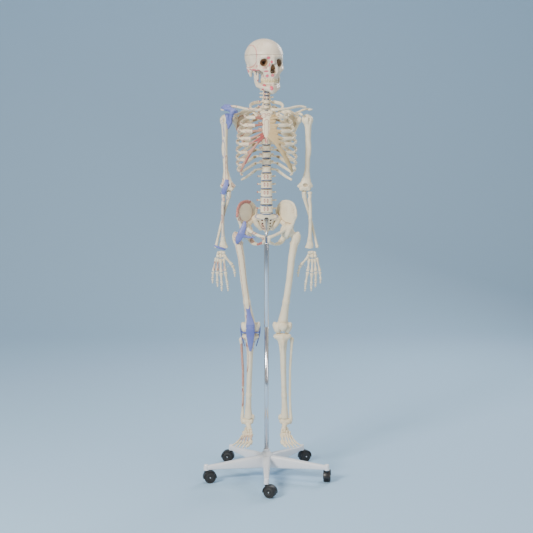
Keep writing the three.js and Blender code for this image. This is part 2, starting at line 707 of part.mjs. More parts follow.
function mandible() {
  const half = (side) =>
    bar(
      [
        [side * 50, 0, -3, 6, 4], [side * 49, -3, -18, 15, 4], [side * 47, -8, -42, 15, 5],
        [side * 43, -26, -60, 13, 5], [side * 31, -56, -68, 13, 6], [side * 10, -76, -68, 14, 7],
        [0, -77, -67, 14, 7],
      ],
      8, new THREE.Vector3(0, -0.7, 0.7),
    );
  return join(half(1), half(-1));
}

const head = pivot(skeleton, HEAD, "head");
head.rotation.z = radians(HEAD_TURN);
piece(head, "cranium", cranium(), bone);
piece(head, "skull_cap", skullCap(), shell);
const jaw = pivot(head, JAW, "jaw");
piece(jaw, "mandible", mandible(), bone);

// ---- The origin goes to the middle of the footprint ----

skeleton.updateMatrixWorld(true);
const extent = new THREE.Box3().setFromObject(skeleton, true);
const middle = extent.getCenter(new THREE.Vector3());
skeleton.position.set(-middle.x, -middle.y, -extent.min.z);

export default skeleton;
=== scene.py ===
"""A life-size classroom skeleton on a five-castor stand, in separate bones, discs, bands and stand parts.

Shapes are in millimetres, facing -Y: limbs and jaw round their joint, the skull round the atlas, and the
trunk round the foot of the pole. Paired bones are drawn for the left side and mirrored for the right one.
The right side wears painted muscle marks and blue ligaments.
"""

import json
import math

import bpy
import numpy as np
from mathutils import Matrix, Vector


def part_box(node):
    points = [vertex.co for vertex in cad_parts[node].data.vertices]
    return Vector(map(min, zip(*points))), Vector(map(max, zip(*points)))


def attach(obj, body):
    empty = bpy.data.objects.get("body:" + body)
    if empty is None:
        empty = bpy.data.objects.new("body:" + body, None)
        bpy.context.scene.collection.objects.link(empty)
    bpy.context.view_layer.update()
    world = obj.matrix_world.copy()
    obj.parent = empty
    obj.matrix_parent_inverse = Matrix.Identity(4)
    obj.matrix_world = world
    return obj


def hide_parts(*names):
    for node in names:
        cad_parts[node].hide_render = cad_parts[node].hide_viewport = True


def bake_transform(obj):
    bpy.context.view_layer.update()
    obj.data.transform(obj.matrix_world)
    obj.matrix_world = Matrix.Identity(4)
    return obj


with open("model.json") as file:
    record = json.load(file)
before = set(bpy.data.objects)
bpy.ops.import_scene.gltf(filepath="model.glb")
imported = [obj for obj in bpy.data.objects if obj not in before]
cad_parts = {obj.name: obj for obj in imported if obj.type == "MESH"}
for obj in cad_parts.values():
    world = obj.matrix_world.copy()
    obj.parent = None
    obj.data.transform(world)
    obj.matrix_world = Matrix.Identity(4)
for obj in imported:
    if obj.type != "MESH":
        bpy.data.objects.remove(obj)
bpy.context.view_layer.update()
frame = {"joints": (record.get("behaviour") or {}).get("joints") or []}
JOINTS = {j["name"]: j for j in frame["joints"]}
MM = 0.001
SIDES = {"left": 1, "right": -1}


def joint_at(name):
    return np.array(JOINTS[name]["pos_m"])


def middle_of(node):
    low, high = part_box(node)
    return (np.array(low) + np.array(high)) / 2


POLE_FOOT = middle_of("pole_lower") * (1, 1, 0)
HEAD = joint_at("head_turn")
JAW = joint_at("jaw_open")
HEAD_TURN = math.atan2(JOINTS["jaw_open"]["axis"][1], JOINTS["jaw_open"]["axis"][0])

# ---- Curves and meshes ----


def catmull(points, count):
    """Centripetal Catmull-Rom curve through rows of numbers whose first three are a place."""
    p = np.array(points, float)
    p = np.vstack([2 * p[0] - p[1], p, 2 * p[-1] - p[-2]])
    gap = np.maximum(np.linalg.norm(np.diff(p[:, :3], axis=0), axis=1), 1e-6) ** 0.5
    place = np.linspace(0, len(points) - 1, count)
    i = np.minimum(place.astype(int), len(points) - 2)
    t = (place - i)[:, None]
    a, b, c, d = p[i], p[i + 1], p[i + 2], p[i + 3]
    g0, g1, g2 = (gap[i + n][:, None] for n in range(3))
    start = ((b - a) / g0 - (c - a) / (g0 + g1) + (c - b) / g1) * g1
    end = ((c - b) / g1 - (d - b) / (g1 + g2) + (d - c) / g2) * g1
    near = (2 * t**3 - 3 * t**2 + 1) * b + (t**3 - 2 * t**2 + t) * start
    return near + (3 * t**2 - 2 * t**3) * c + (t**3 - t**2) * end


def rings_to_mesh(rings):
    """Skins rings of points and closes both ends with a fan."""
    count, sides = rings.shape[:2]
    verts = np.vstack([rings.reshape(-1, 3), rings[0].mean(0), rings[-1].mean(0)])
    r, s = np.meshgrid(np.arange(count - 1), np.arange(sides), indexing="ij")
    n = (s + 1) % sides
    quads = np.stack(
        [r * sides + s, r * sides + n, (r + 1) * sides + n, (r + 1) * sides + s], -1,
    ).reshape(-1, 4)
    s = np.arange(sides)
    n = (s + 1) % sides
    last = (count - 1) * sides
    first_fan = np.stack([n, s, np.full(sides, len(verts) - 2)], -1)
    last_fan = np.stack([last + s, last + n, np.full(sides, len(verts) - 1)], -1)
    return verts, [quads, first_fan, last_fan]


def loft(stations, steps=24, sides=14, along=(1, 0, 0), power=2.0, dome=0.8):
    """A bar through [x, y, z, half width, half depth] with domed ends; power over 2 squares its section."""
    stations = [(*s, s[3]) if len(s) == 4 else s for s in stations]
    path = catmull(stations, steps)
    tangent = np.gradient(path[:, :3], axis=0)
    tangent /= np.linalg.norm(tangent, axis=1)[:, None]
    along = np.array(along, float)
    wide = along - tangent * (tangent @ along)[:, None]
    wide /= np.linalg.norm(wide, axis=1)[:, None]
    deep = np.cross(tangent, wide)
    angle = np.arange(sides) * 2 * math.pi / sides
    c, s = np.cos(angle), np.sin(angle)
    across = np.sign(c) * np.abs(c) ** (2 / power)
    down = np.sign(s) * np.abs(s) ** (2 / power)
    order = [(0, q) for q in (0.05, 0.45, 0.75, 0.93)] + [(i, 1) for i in range(steps)]
    order += [(steps - 1, q) for q in (0.93, 0.75, 0.45, 0.05)]
    rings = []
    for row, (i, q) in enumerate(order):
        size = np.maximum(path[i, 3:5], 0.05)
        push = dome * size.min() * math.sqrt(1 - q * q) * (-1 if row < 4 else 1)
        centre = path[i, :3] + tangent[i] * push
        rings.append(
            centre + q * (np.outer(across, wide[i]) * size[0] + np.outer(down, deep[i]) * size[1])
        )
    return rings_to_mesh(np.array(rings))


def lathe(profile, sides=48, axis=2):
    """A turned piece from (radius, height) points, about X (axis 0) or Z; both ends are closed."""
    angle = np.arange(sides) * 2 * math.pi / sides
    rings = np.array([[(r * math.cos(a), r * math.sin(a), h) for a in angle] for r, h in profile])
    if axis == 0:
        rings = rings[..., [2, 0, 1]]
    return rings_to_mesh(rings)


def pebble(centre, radii, seed=0, turn=(0, 0, 0), power=2.4):
    """A lumpy rounded block, such as a wrist bone."""
    u, v = np.meshgrid(np.linspace(0.04, math.pi - 0.04, 11), np.arange(16) * math.pi / 8, indexing="ij")
    shape = np.stack([np.sin(u) * np.cos(v), np.sin(u) * np.sin(v), np.cos(u)], -1)
    shape = np.sign(shape) * np.abs(shape) ** (2 / power)
    lumps = 1 + 0.07 * np.sin(3 * shape[..., 0] + seed) * np.cos(4 * shape[..., 1] + 2 * seed)
    points = shape * lumps[..., None] * np.array(radii)
    return rings_to_mesh(points[::-1] @ spin(turn).T + np.array(centre))


def mix(a, b, t):
    return a + (b - a) * t


def spin(degrees):
    x, y, z = (math.radians(d) for d in degrees)
    return np.array(Matrix.Rotation(z, 3, "Z") @ Matrix.Rotation(y, 3, "Y") @ Matrix.Rotation(x, 3, "X"))


def merged(*parts):
    """Several (verts, faces) meshes as one."""
    verts, faces, offset = [], [], 0
    for v, groups in parts:
        verts.append(v)
        faces += [g + offset for g in groups]
        offset += len(v)
    return np.vstack(verts), faces


# ---- Clay: solids blended from simple shapes on a grid of distances ----


def blend_min(a, b, k):
    h = np.clip(0.5 + 0.5 * (b - a) / k, 0, 1)
    return b + (a - b) * h - k * h * (1 - h)


class Clay:
    def __init__(self, low, high, step):
        self.step = step
        self.low = np.array(low, np.float32) - 3 * step
        count = np.ceil((np.array(high) - self.low) / step).astype(int) + 4
        self.d = np.full(count, 15.0, np.float32)

    def _blend(self, low, high, field, k, carve):
        pad = k + 2 * self.step
        first = np.floor((np.array(low) - pad - self.low) / self.step).astype(int).clip(0)
        last = np.ceil((np.array(high) + pad - self.low) / self.step).astype(int).clip(0)
        last = np.minimum(last, self.d.shape)
        if (last <= first).any():
            return
        window = tuple(slice(a, b) for a, b in zip(first, last))
        grid = [
            self.low[n] + self.step * np.arange(first[n], last[n], dtype=np.float32)
            for n in range(3)
        ]
        there = field(*np.ix_(*grid))
        here = self.d[window]
        self.d[window] = -blend_min(-here, there, k) if carve else blend_min(here, there, k)

    def rod(self, *stations, k=4.0, flat=None, carve=False):
        """Round cones through [x, y, z, radius]. flat is (direction, times thinner that way)."""
        normal, thin = (np.array(flat[0], float), flat[1]) if flat else (np.zeros(3), 1)
        normal = normal / max(np.linalg.norm(normal), 1e-9)
        spans = []
        for p, q in zip(stations, stations[1:]):
            a, b = np.array(p[:3], float), np.array(q[:3], float)
            run = b - a
            run = run + normal * (normal @ run) * (thin - 1)
            spans.append((a, run, p[3], q[3], max(run @ run, 1e-6)))

        def field(x, y, z):
            nearest = np.float32(1e3)
            for a, run, ra, rb, length in spans:
                u, v, w = x - a[0], y - a[1], z - a[2]
                if thin != 1:
                    off = (u * normal[0] + v * normal[1] + w * normal[2]) * (thin - 1)
                    u, v, w = u + off * normal[0], v + off * normal[1], w + off * normal[2]
                h = np.clip((u * run[0] + v * run[1] + w * run[2]) / length, 0, 1)
                gone = (u - run[0] * h) ** 2 + (v - run[1] * h) ** 2 + (w - run[2] * h) ** 2
                nearest = np.minimum(nearest, np.sqrt(gone) - (ra + (rb - ra) * h))
            return nearest

        places = np.array([s[:3] for s in stations], float)
        sizes = np.array([s[3] for s in stations])[:, None]
        self._blend((places - sizes).min(0), (places + sizes).max(0), field, k, carve)

    def ball(self, centre, radii, k=4.0, carve=False):
        radii = np.array(radii if np.ndim(radii) else [radii] * 3, float)

        def field(x, y, z):
            p = (x - centre[0], y - centre[1], z - centre[2])
            near = np.sqrt(sum((q / r) ** 2 for q, r in zip(p, radii)))
            slope = np.sqrt(sum((q / r**2) ** 2 for q, r in zip(p, radii)))
            return near * (near - 1) / np.maximum(slope, 1e-4)

        self._blend(np.array(centre) - radii, np.array(centre) + radii, field, k, carve)

    def puck(self, centre, radii, half, k=4.0, rim=2.0, waist=0.0, tilt=0.0):
        """An upright oval drum with a rounded rim; waist pinches its middle and tilt leans it back."""
        lean = math.tan(tilt)

        def field(x, y, z):
            x, y, z = x - centre[0], y - centre[1], z - centre[2]
            z = z + y * lean
            pinch = 1 - waist * np.clip(1 - (z / half) ** 2, 0, 1)
            out = (np.sqrt((x / radii[0]) ** 2 + (y / radii[1]) ** 2) / pinch - 1) * min(radii) + rim
            up = np.abs(z) - half + rim
            beyond = np.sqrt(np.maximum(out, 0) ** 2 + np.maximum(up, 0) ** 2)
            return beyond + np.minimum(np.maximum(out, up), 0) - rim

        reach = np.array([*radii, half + abs(lean) * radii[1]])
        self._blend(np.array(centre) - reach, np.array(centre) + reach, field, k, False)

    def keep(self, axis, level, above):
        """Cuts everything off on one side of a plane."""
        shape = [1, 1, 1]
        shape[axis] = -1
        place = (self.low[axis] + self.step * np.arange(self.d.shape[axis])).reshape(shape)
        self.d = np.maximum(self.d, (level - place if above else place - level)).astype(np.float32)

    def mesh(self, relax=1):
        """The surface as quads, by surface nets."""
        d = self.d
        inside = (d < 0).astype(np.int8)
        corners = sum(
            inside[i : d.shape[0] - 1 + i, j : d.shape[1] - 1 + j, k : d.shape[2] - 1 + k]
            for i in (0, 1)
            for j in (0, 1)
            for k in (0, 1)
        )
        cells = np.argwhere((corners > 0) & (corners < 8))
        number = np.full(corners.shape, -1, np.int64)
        number[tuple(cells.T)] = np.arange(len(cells))
        place = np.zeros((len(cells), 3))
        hits = np.zeros(len(cells))
        faces = []
        for axis in range(3):
            along = np.eye(3, dtype=int)[axis]
            u, v = np.eye(3, dtype=int)[(axis + 1) % 3], np.eye(3, dtype=int)[(axis + 2) % 3]
            for offset in (0 * u, u, v, u + v):
                a = d[tuple((cells + offset).T)]
                b = d[tuple((cells + offset + along).T)]
                crossed = (a < 0) != (b < 0)
                t = a[crossed] / (a[crossed] - b[crossed])
                place[crossed] += offset + along * t[:, None]
                hits[crossed] += 1
            low = tuple(slice(0, n - (axis == m)) for m, n in enumerate(d.shape))
            high = tuple(slice(int(axis == m), n) for m, n in enumerate(d.shape))
            edges = np.argwhere(inside[low] != inside[high])
            edges = edges[((edges @ u) > 0) & ((edges @ v) > 0)]
            quad = np.stack([number[tuple((edges - o).T)] for o in (u + v, v, 0 * u, u)], -1)
            outward = inside[tuple(edges.T)] > 0
            faces.append(np.where(outward[:, None], quad, quad[:, ::-1]))
        verts = (cells + place / hits[:, None]) * self.step + self.low
        faces = np.vstack(faces)
        return relaxed(verts, [faces], relax), [faces]


def edges_of(faces):
    return np.vstack([np.stack([g, np.roll(g, -1, 1)], -1).reshape(-1, 2) for g in faces])


def relaxed(verts, faces, rounds):
    """Moves each point towards the middle of its neighbours."""
    a, b = edges_of(faces).T
    count = np.maximum(np.bincount(a, minlength=len(verts)) + np.bincount(b, minlength=len(verts)), 1)
    for _ in range(rounds):
        total = np.stack(
            [
                np.bincount(a, verts[b, n], len(verts)) + np.bincount(b, verts[a, n], len(verts))
                for n in range(3)
            ],
            1,
        )
        verts = 0.5 * verts + 0.5 * total / count[:, None]
    return verts


# ---- Pieces ----


def write_value(mesh, name, values):
    mesh.attributes.new(name, "FLOAT", "POINT").data.foreach_set("value", np.asarray(values, np.float32))


def hollows(mesh, verts, faces, rounds):
    """How far each point sits in a recess, from -1 on a ridge to 1, relative to the piece's own detail; the
    bone material turns it into painted shade.
    """
    normals = np.empty(len(verts) * 3, np.float32)
    mesh.vertex_normals.foreach_get("vector", normals)
    drift = relaxed(verts, faces, rounds) - verts
    depth = (drift * normals.reshape(-1, 3)).sum(1)
    return np.clip(depth / 0.6, -1, 1)


def spot(centre, radii, fill=0.2, hue=1):
    """A painted oval. hue is 1 for a red edge line and -1 for a blue one."""
    return np.array([centre], float), np.array(radii, float), fill, hue


def stripe(points, width, fill=0.2, hue=1):
    """A painted band along a line."""
    return np.array(points, float), np.full(3, float(width)), fill, hue


def marks(verts, patches):
    """Painted marks: how filled each point is, and the edge lines, above 0 for red and below 0 for blue."""
    filled = np.zeros(len(verts))
    line = np.zeros(len(verts))
    wobble = 0.06 * np.sin(verts @ (0.31, 0.23, 0.27))
    for points, radii, fill, hue in patches:
        near = np.linalg.norm((verts - points[0]) / radii, axis=1)
        for a, b in zip(points, points[1:]):
            run = (b - a) / radii
            h = np.clip(((verts - a) / radii) @ run / (run @ run), 0, 1)
            near = np.minimum(near, np.linalg.norm((verts - a) / radii - h[:, None] * run, axis=1))
        near = near + wobble * min(1, 8 / radii.min())
        filled = np.maximum(filled, fill * np.clip((1.02 - near) * radii.min() / 1.5, 0, 1))
        edge = np.exp(-(((near - 1) * radii.min() / 1.15) ** 2))
        line = np.where(edge > np.abs(line), edge * hue, line)
    return filled, line


def piece(name, shape, body, look, origin=POLE_FOOT, side=1, turn=0.0, stands_for=(), paint=(), rounds=6):
    """Makes a mesh object from (verts, faces) in millimetres round an origin, and hangs it on a body."""
    verts, faces = shape
    mesh = bpy.data.meshes.new(name)
    placed = verts * (side, 1, 1) @ spin((0, 0, math.degrees(turn))).T * MM + origin
    order = 1 if side > 0 else -1
    mesh.from_pydata(placed.tolist(), [], [f for g in faces for f in g[:, ::order].tolist()])
    mesh.shade_smooth()
    if rounds:
        write_value(mesh, "hollow", hollows(mesh, placed / MM, faces, rounds))
    if len(paint):
        red, line = marks(verts, paint)
        write_value(mesh, "muscle", red)
        write_value(mesh, "outline", line)
    mesh.materials.append(look)
    made = bpy.data.objects.new(name, mesh)
    bpy.context.scene.collection.objects.link(made)
    if body:
        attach(made, body)
    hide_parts(*stands_for)
    return made


# ---- Materials ----


def new_look(name, colour, roughness, metallic=0.0, coat=0.0):
    """A Principled material; returns it with its node tree and its shader."""
    look = bpy.data.materials.new(name)
    look.use_nodes = True
    look.diffuse_color = (*colour, 1)
    tree = look.node_tree
    shader = tree.nodes["Principled BSDF"]
    shader.inputs["Base Color"].default_value = (*colour, 1)
    shader.inputs["Roughness"].default_value = roughness
    shader.inputs["Metallic"].default_value = metallic
    shader.inputs["Coat Weight"].default_value = coat
    return look, tree, shader


def noise(tree, scale, detail=4.0, stretch=None):
    """Noise in metres of the object's own space, so it stays on the piece when the model moves."""
    place = tree.nodes.new("ShaderNodeTexCoord")
    made = tree.nodes.new("ShaderNodeTexNoise")
    made.inputs["Scale"].default_value = scale
    made.inputs["Detail"].default_value = detail
    source = place.outputs["Object"]
    if stretch:
        mapping = tree.nodes.new("ShaderNodeMapping")
        mapping.inputs["Scale"].default_value = stretch
        tree.links.new(source, mapping.inputs["Vector"])
        source = mapping.outputs["Vector"]
    tree.links.new(source, made.inputs["Vector"])
    return made.outputs["Fac"]


def remap(tree, value, low, high, to_low, to_high):
    node = tree.nodes.new("ShaderNodeMapRange")
    for socket, number in zip(("From Min", "From Max", "To Min", "To Max"), (low, high, to_low, to_high)):
        node.inputs[socket].default_value = number
    tree.links.new(value, node.inputs["Value"])
    return node.outputs["Result"]


def mixed(tree, amount, under, over):
    """under shows through where amount is 0, over where it is 1; each is a socket or a colour."""
    node = tree.nodes.new("ShaderNodeMix")
    node.data_type = "RGBA"
    tree.links.new(amount, node.inputs["Factor"])
    socket_shade = [s for s in node.inputs if s.type == "RGBA"]
    for socket, colour in zip(socket_shade, (under, over)):
        if isinstance(colour, tuple):
            socket.default_value = (*colour, 1)
        else:
            tree.links.new(colour, socket)
    return next(s for s in node.outputs if s.type == "RGBA")


def times(tree, a, b):
    node = tree.nodes.new("ShaderNodeMath")
    node.operation = "MULTIPLY"
    for socket, value in zip(node.inputs, (a, b)):
        if isinstance(value, (int, float)):
            socket.default_value = value
        else:
            tree.links.new(value, socket)
    return node.outputs[0]


def attribute(tree, name):
    node = tree.nodes.new("ShaderNodeAttribute")
    node.attribute_name = name
    return node.outputs["Fac"]


def bumpy(tree, shader, height, strength, distance):
    node = tree.nodes.new("ShaderNodeBump")
    node.inputs["Strength"].default_value = strength
    node.inputs["Distance"].default_value = distance
    tree.links.new(height, node.inputs["Height"])
    tree.links.new(node.outputs["Normal"], shader.inputs["Normal"])


def bone_look(name, pale, tan, roughness=0.46, grain=320, red=(0.42, 0.05, 0.06)):
    """Moulded vinyl bone: pale on its ridges, tan staining and painted shade in its hollows, finely pitted,
    with painted marks.
    """
    look, tree, shader = new_look(name, pale, roughness)
    blotch = remap(tree, noise(tree, 22, 5), 0.45, 0.72, 0, 0.3)
    colour = mixed(tree, blotch, pale, tuple(mix(a, b, 0.6) for a, b in zip(pale, tan)))
    # Painted shade: the recesses turn a darker tan, partly also the tan staining the moulding has there; on
    # the skull the suture seams and the painted shade of the eye sockets and nose come in through the same
    # attribute.
    hollow = remap(tree, attribute(tree, "hollow"), 0.08, 0.85, 0, 0.95)
    colour = mixed(tree, hollow, colour, tuple(c * 0.62 for c in tan))
    streak = remap(tree, noise(tree, 90, 3, (1, 1, 0.22)), 0.52, 0.78, 0, 0.22)
    colour = mixed(tree, streak, colour, tan)
    patchy = remap(tree, noise(tree, 160, 3), 0.3, 0.6, 0.75, 1)
    colour = mixed(tree, times(tree, attribute(tree, "muscle"), patchy), colour, red)
    line = attribute(tree, "outline")
    colour = mixed(tree, remap(tree, line, 0.12, 0.95, 0, 0.85), colour, tuple(c * 0.75 for c in red))
    colour = mixed(tree, remap(tree, line, -0.12, -0.95, 0, 0.75), colour, (0.12, 0.15, 0.36))
    tree.links.new(colour, shader.inputs["Base Color"])
    tree.links.new(
        remap(tree, noise(tree, 60, 3), 0.3, 0.7, roughness - 0.08, roughness + 0.1),
        shader.inputs["Roughness"],
    )
    bumpy(tree, shader, noise(tree, grain, 6), 0.35, 0.0006)
    return look


def moulded_look(name, colour, roughness, grain, depth, spots=None, coat=0.0, metallic=0.0):
    """Moulded plastic or plated metal with a slight change of tone and a fine grain."""
    look, tree, shader = new_look(name, colour, roughness, metallic, coat)
    tone = remap(tree, noise(tree, 14, 3), 0.35, 0.7, 0, 0.5)
    tree.links.new(
        mixed(tree, tone, colour, spots or tuple(c * 0.82 for c in colour)),
        shader.inputs["Base Color"],
    )
    tree.links.new(
        remap(tree, noise(tree, 40, 4), 0.3, 0.7, roughness * 0.8, roughness * 1.25),
        shader.inputs["Roughness"],
    )
    bumpy(tree, shader, noise(tree, grain, 3), 0.25, depth)
    return look


BONE = bone_look("bone", (0.85, 0.74, 0.54), (0.46, 0.29, 0.13))
SKULL = bone_look("skull_bone", (0.80, 0.69, 0.54), (0.38, 0.20, 0.09), 0.4, 260, red=(0.80, 0.01, 0.10))
CARTILAGE = bone_look("cartilage", (0.58, 0.42, 0.21), (0.38, 0.25, 0.11), 0.5)
RED_CARTILAGE = bone_look("red_cartilage", (0.52, 0.27, 0.19), (0.34, 0.10, 0.08), 0.5)
TOOTH = moulded_look("tooth", (0.82, 0.70, 0.44), 0.25, 200, 0.0001, (0.62, 0.44, 0.22))
DISC = moulded_look("disc_vinyl", (0.09, 0.13, 0.24), 0.5, 500, 0.0003, (0.15, 0.19, 0.30))
LIGAMENT = moulded_look("ligament", (0.12, 0.15, 0.44), 0.45, 420, 0.0006, (0.26, 0.29, 0.58))
CHROME = moulded_look(
    "pole_chrome", (0.80, 0.80, 0.84), 0.16, 900, 0.00002, (0.70, 0.69, 0.76), metallic=1.0,
)
STEEL = moulded_look("steel", (0.60, 0.60, 0.62), 0.3, 900, 0.00003, metallic=1.0)
WHITE = moulded_look("base_nylon", (0.80, 0.81, 0.84), 0.32, 700, 0.00012, (0.72, 0.73, 0.78), coat=0.2)
BLACK = moulded_look("castor_nylon", (0.018, 0.018, 0.02), 0.42, 700, 0.0001, (0.03, 0.03, 0.032))
TREAD = moulded_look("castor_tread", (0.013, 0.013, 0.014), 0.6, 500, 0.0002, (0.035, 0.033, 0.03))

# ---- Stand ----

HUB_TOP = 112
ARM_REACH = 260


def star_base():
    hub = lathe(
        [
            (3, 41), (22, 41), (25, 44), (26.5, 60), (27, 90), (26, 99), (22.5, 103), (19, 106),
            (15.5, 111), (13, HUB_TOP),
        ],
        64,
    )
    parts = [hub]
    for i in range(5):
        turn = spin((0, 0, i * 72)).T
        arm = loft(
            [
                (0, -14, 68, 15, 27), (0, -60, 68, 15, 25), (0, -150, 66.5, 12, 17),
                (0, -ARM_REACH + 6, 63.8, 9.5, 9),
            ],
            28, 24, power=4.2, dome=0.35,
        )
        rib = loft(
            [(0, -20, 94, 3, 2), (0, -90, 87, 2.5, 2), (0, -ARM_REACH + 20, 73, 2, 1.6)], 16, 8,
            power=3,
        )
        knob = lathe(
            [
                (6.4, 53.2), (10.4, 53.2), (10.8, 56), (10.2, 66), (9.8, 74), (8.6, 77.2), (6, 78.4),
                (1, 78.6),
            ],
            32,
        )
        parts += [(arm[0] @ turn, arm[1]), (rib[0] @ turn, rib[1])]
        parts.append(((knob[0] + (0, -ARM_REACH, 0)) @ turn, knob[1]))
    piece("star_base_moulding", merged(*parts), "trunk", WHITE, stands_for=["star_base"], rounds=0)


def castor(i):
    """A twin-wheel castor: a black hood over two wheels on an axle."""
    swivel, roll = joint_at(f"castor_swivel_{i}"), joint_at(f"castor_roll_{i}")
    trail = roll - swivel
    turn = math.atan2(trail[1], trail[0]) - math.pi / 2
    centre = np.array([0, 15, 24])
    fender = []
    for t in np.linspace(-8, 188, 30):
        a = math.radians(t)
        out, rim = np.array([0, math.cos(a), math.sin(a)]), []
        for x, r in (
            (-15, 25.4), (-15, 26.8), (-13.6, 27.8), (0, 28.2), (13.6, 27.8), (15, 26.8), (15, 25.4),
            (0, 26.2),
        ):
            rim.append(centre + out * r + (x, 0, 0))
        fender.append(rim)
    hood = rings_to_mesh(np.array(fender))
    web = lathe([(4, -1.8), (21, -1.8), (24, -1.4), (24, 1.4), (21, 1.8), (4, 1.8)], 40, 0)
    neck = loft(
        [(0, 2, 34, 1.9, 7), (0, 1, 44, 6, 7), (0, 0, 50, 8.4, 8.4), (0, 0, 53, 8.8, 8.8)], 14, 20,
        dome=0.05,
    )
    stem = lathe([(0.5, 50), (5, 50), (5, 70), (4.2, 72), (0.5, 72)], 24)
    parts = merged(hood, (web[0] + centre, web[1]), neck, stem)
    shown = {"origin": swivel * (1, 1, 0), "turn": turn, "rounds": 0}
    piece(f"castor_housing_{i}", parts, f"castor_{i}", BLACK, stands_for=[f"castor_hood_{i}"], **shown)
    tyres = []
    for s in (-1, 1):
        inner, outer = 2.6 * s, 14.2 * s
        steps = [
            (3.4, inner), (19, inner), (22.6, inner + 0.6 * s), (24, inner + 2.4 * s),
            (24, outer - 2.2 * s),
        ]
        steps += [(23, outer - 0.5 * s), (21.4, outer), (20.2, outer - 0.9 * s), (17.5, outer - 1.2 * s)]
        steps += [
            (16.6, outer - 0.2 * s), (8, outer), (6.6, outer - 1.6 * s), (4.6, outer - 1.6 * s),
            (3.8, outer),
        ]
        wheel = lathe(steps[:: s], 56, 0)
        tyres.append((wheel[0] + centre, wheel[1]))
    piece(
        f"castor_tyres_{i}", merged(*tyres), f"wheels_{i}", TREAD, stands_for=[f"castor_wheels_{i}"],
        **shown,
    )
    axle = lathe([(0.5, -15), (2.6, -15), (3, -14.4), (3, 14.4), (2.6, 15), (0.5, 15)], 20, 0)
    piece(f"castor_axle_{i}", (axle[0] + centre, axle[1]), f"wheels_{i}", STEEL, **shown)


def pole():
    seam = 637
    low = lathe([(7.5, 62), (9, 62), (9, seam + 40), (7.5, seam + 40)], 48)
    collar = lathe([(9.2, 112.5), (12.6, 112.5), (13, 114), (13, 119), (12, 121), (9.2, 121.5)], 48)
    high = lathe(
        [(9.4, seam), (9.7, seam - 0.1), (10, seam + 0.6), (10, 978), (9.6, 983), (8, 985), (4.6, 985)],
        48,
    )
    piece("pole_foot_tube", low, "trunk", CHROME, stands_for=["pole_lower"], rounds=0)
    piece("pole_foot_collar", collar, "trunk", WHITE, rounds=0)
    piece("pole_top_tube", high, "trunk", CHROME, stands_for=["pole_upper"], rounds=0)
    rod = lathe(
        [
            (0.5, 957), (4, 957), (4, 985.6), (8, 985.6), (8, 990), (4, 990.6), (4, 1078), (8, 1078.4),
            (8, 1080), (4, 1080.2),
        ],
        32,
    )
    nut = lathe([(4, 1080.4), (6.6, 1080.4), (7, 1081), (7, 1085.4), (6.4, 1086), (4, 1086)], 6)
    tip = lathe([(3.4, 1084), (3.4, 1087), (0.5, 1087.4)], 24)
    piece("pelvis_rod_bar", merged(rod, tip), "trunk", STEEL, stands_for=["pelvis_rod"], rounds=0)
    piece("pelvis_rod_nut", nut, "trunk", BLACK, rounds=0)


# ---- Spine ----

SACRUM_TOP, LUMBAR_TOP, THORAX_TOP, NECK_TOP = 1100, 1262, 1557, 1655
COLUMN = [
    (4, 1100), (-1, 1115), (-9, 1180), (12, 1277), (26, 1330), (34, 1387), (28, 1483), (9, 1557),
    (-2, 1612), (2, 1655),
]
COLUMN_LINE = catmull([(0, y, z) for y, z in COLUMN], 200)


def column_y(z):
    return float(np.interp(z, COLUMN_LINE[:, 2], COLUMN_LINE[:, 1]))


def column_tilt(z):
    return math.atan2(column_y(z + 8) - column_y(z - 8), 16)


def stretch_levels(count, bottom, top):
    """(bottom, height) of each vertebra with its disc, from the lowest up."""
    growth = 0.4 if count == 12 else 0.1
    weights = [1 + growth * (0.5 - i / (count - 1)) for i in range(count)]
    share = (top - bottom) / sum(weights)
    levels = []
    for weight in weights:
        levels.append((bottom, weight * share))
        bottom += weight * share
    return levels


STRETCHES = {
    "lumbar": dict(
        count=5, bottom=SACRUM_TOP, top=LUMBAR_TOP, body="lumbar_spine", wide=(26.5, 23), deep=(17, 16),
        tail=(36, 36), drop=(4, 4), tall=10, span=(38, 33), sweep=2, facet=7.5, gap=0.15, arm=4.2,
    ),
    "thoracic": dict(
        count=12, bottom=LUMBAR_TOP, top=THORAX_TOP, body="thoracic_spine", wide=(19, 13),
        deep=(15, 11), tail=(38, 36), drop=(10, 12), tall=5.5, span=(24, 34), sweep=14, facet=5.5,
        gap=0.15, arm=4.2,
    ),
    "cervical": dict(
        count=7, bottom=THORAX_TOP, top=NECK_TOP, body="cervical_spine", wide=(12, 10.5), deep=(8.5, 8),
        tail=(34, 18), drop=(8, 2), tall=3.6, span=(25, 20), sweep=4, facet=5, gap=0.2, arm=3.6,
    ),
}


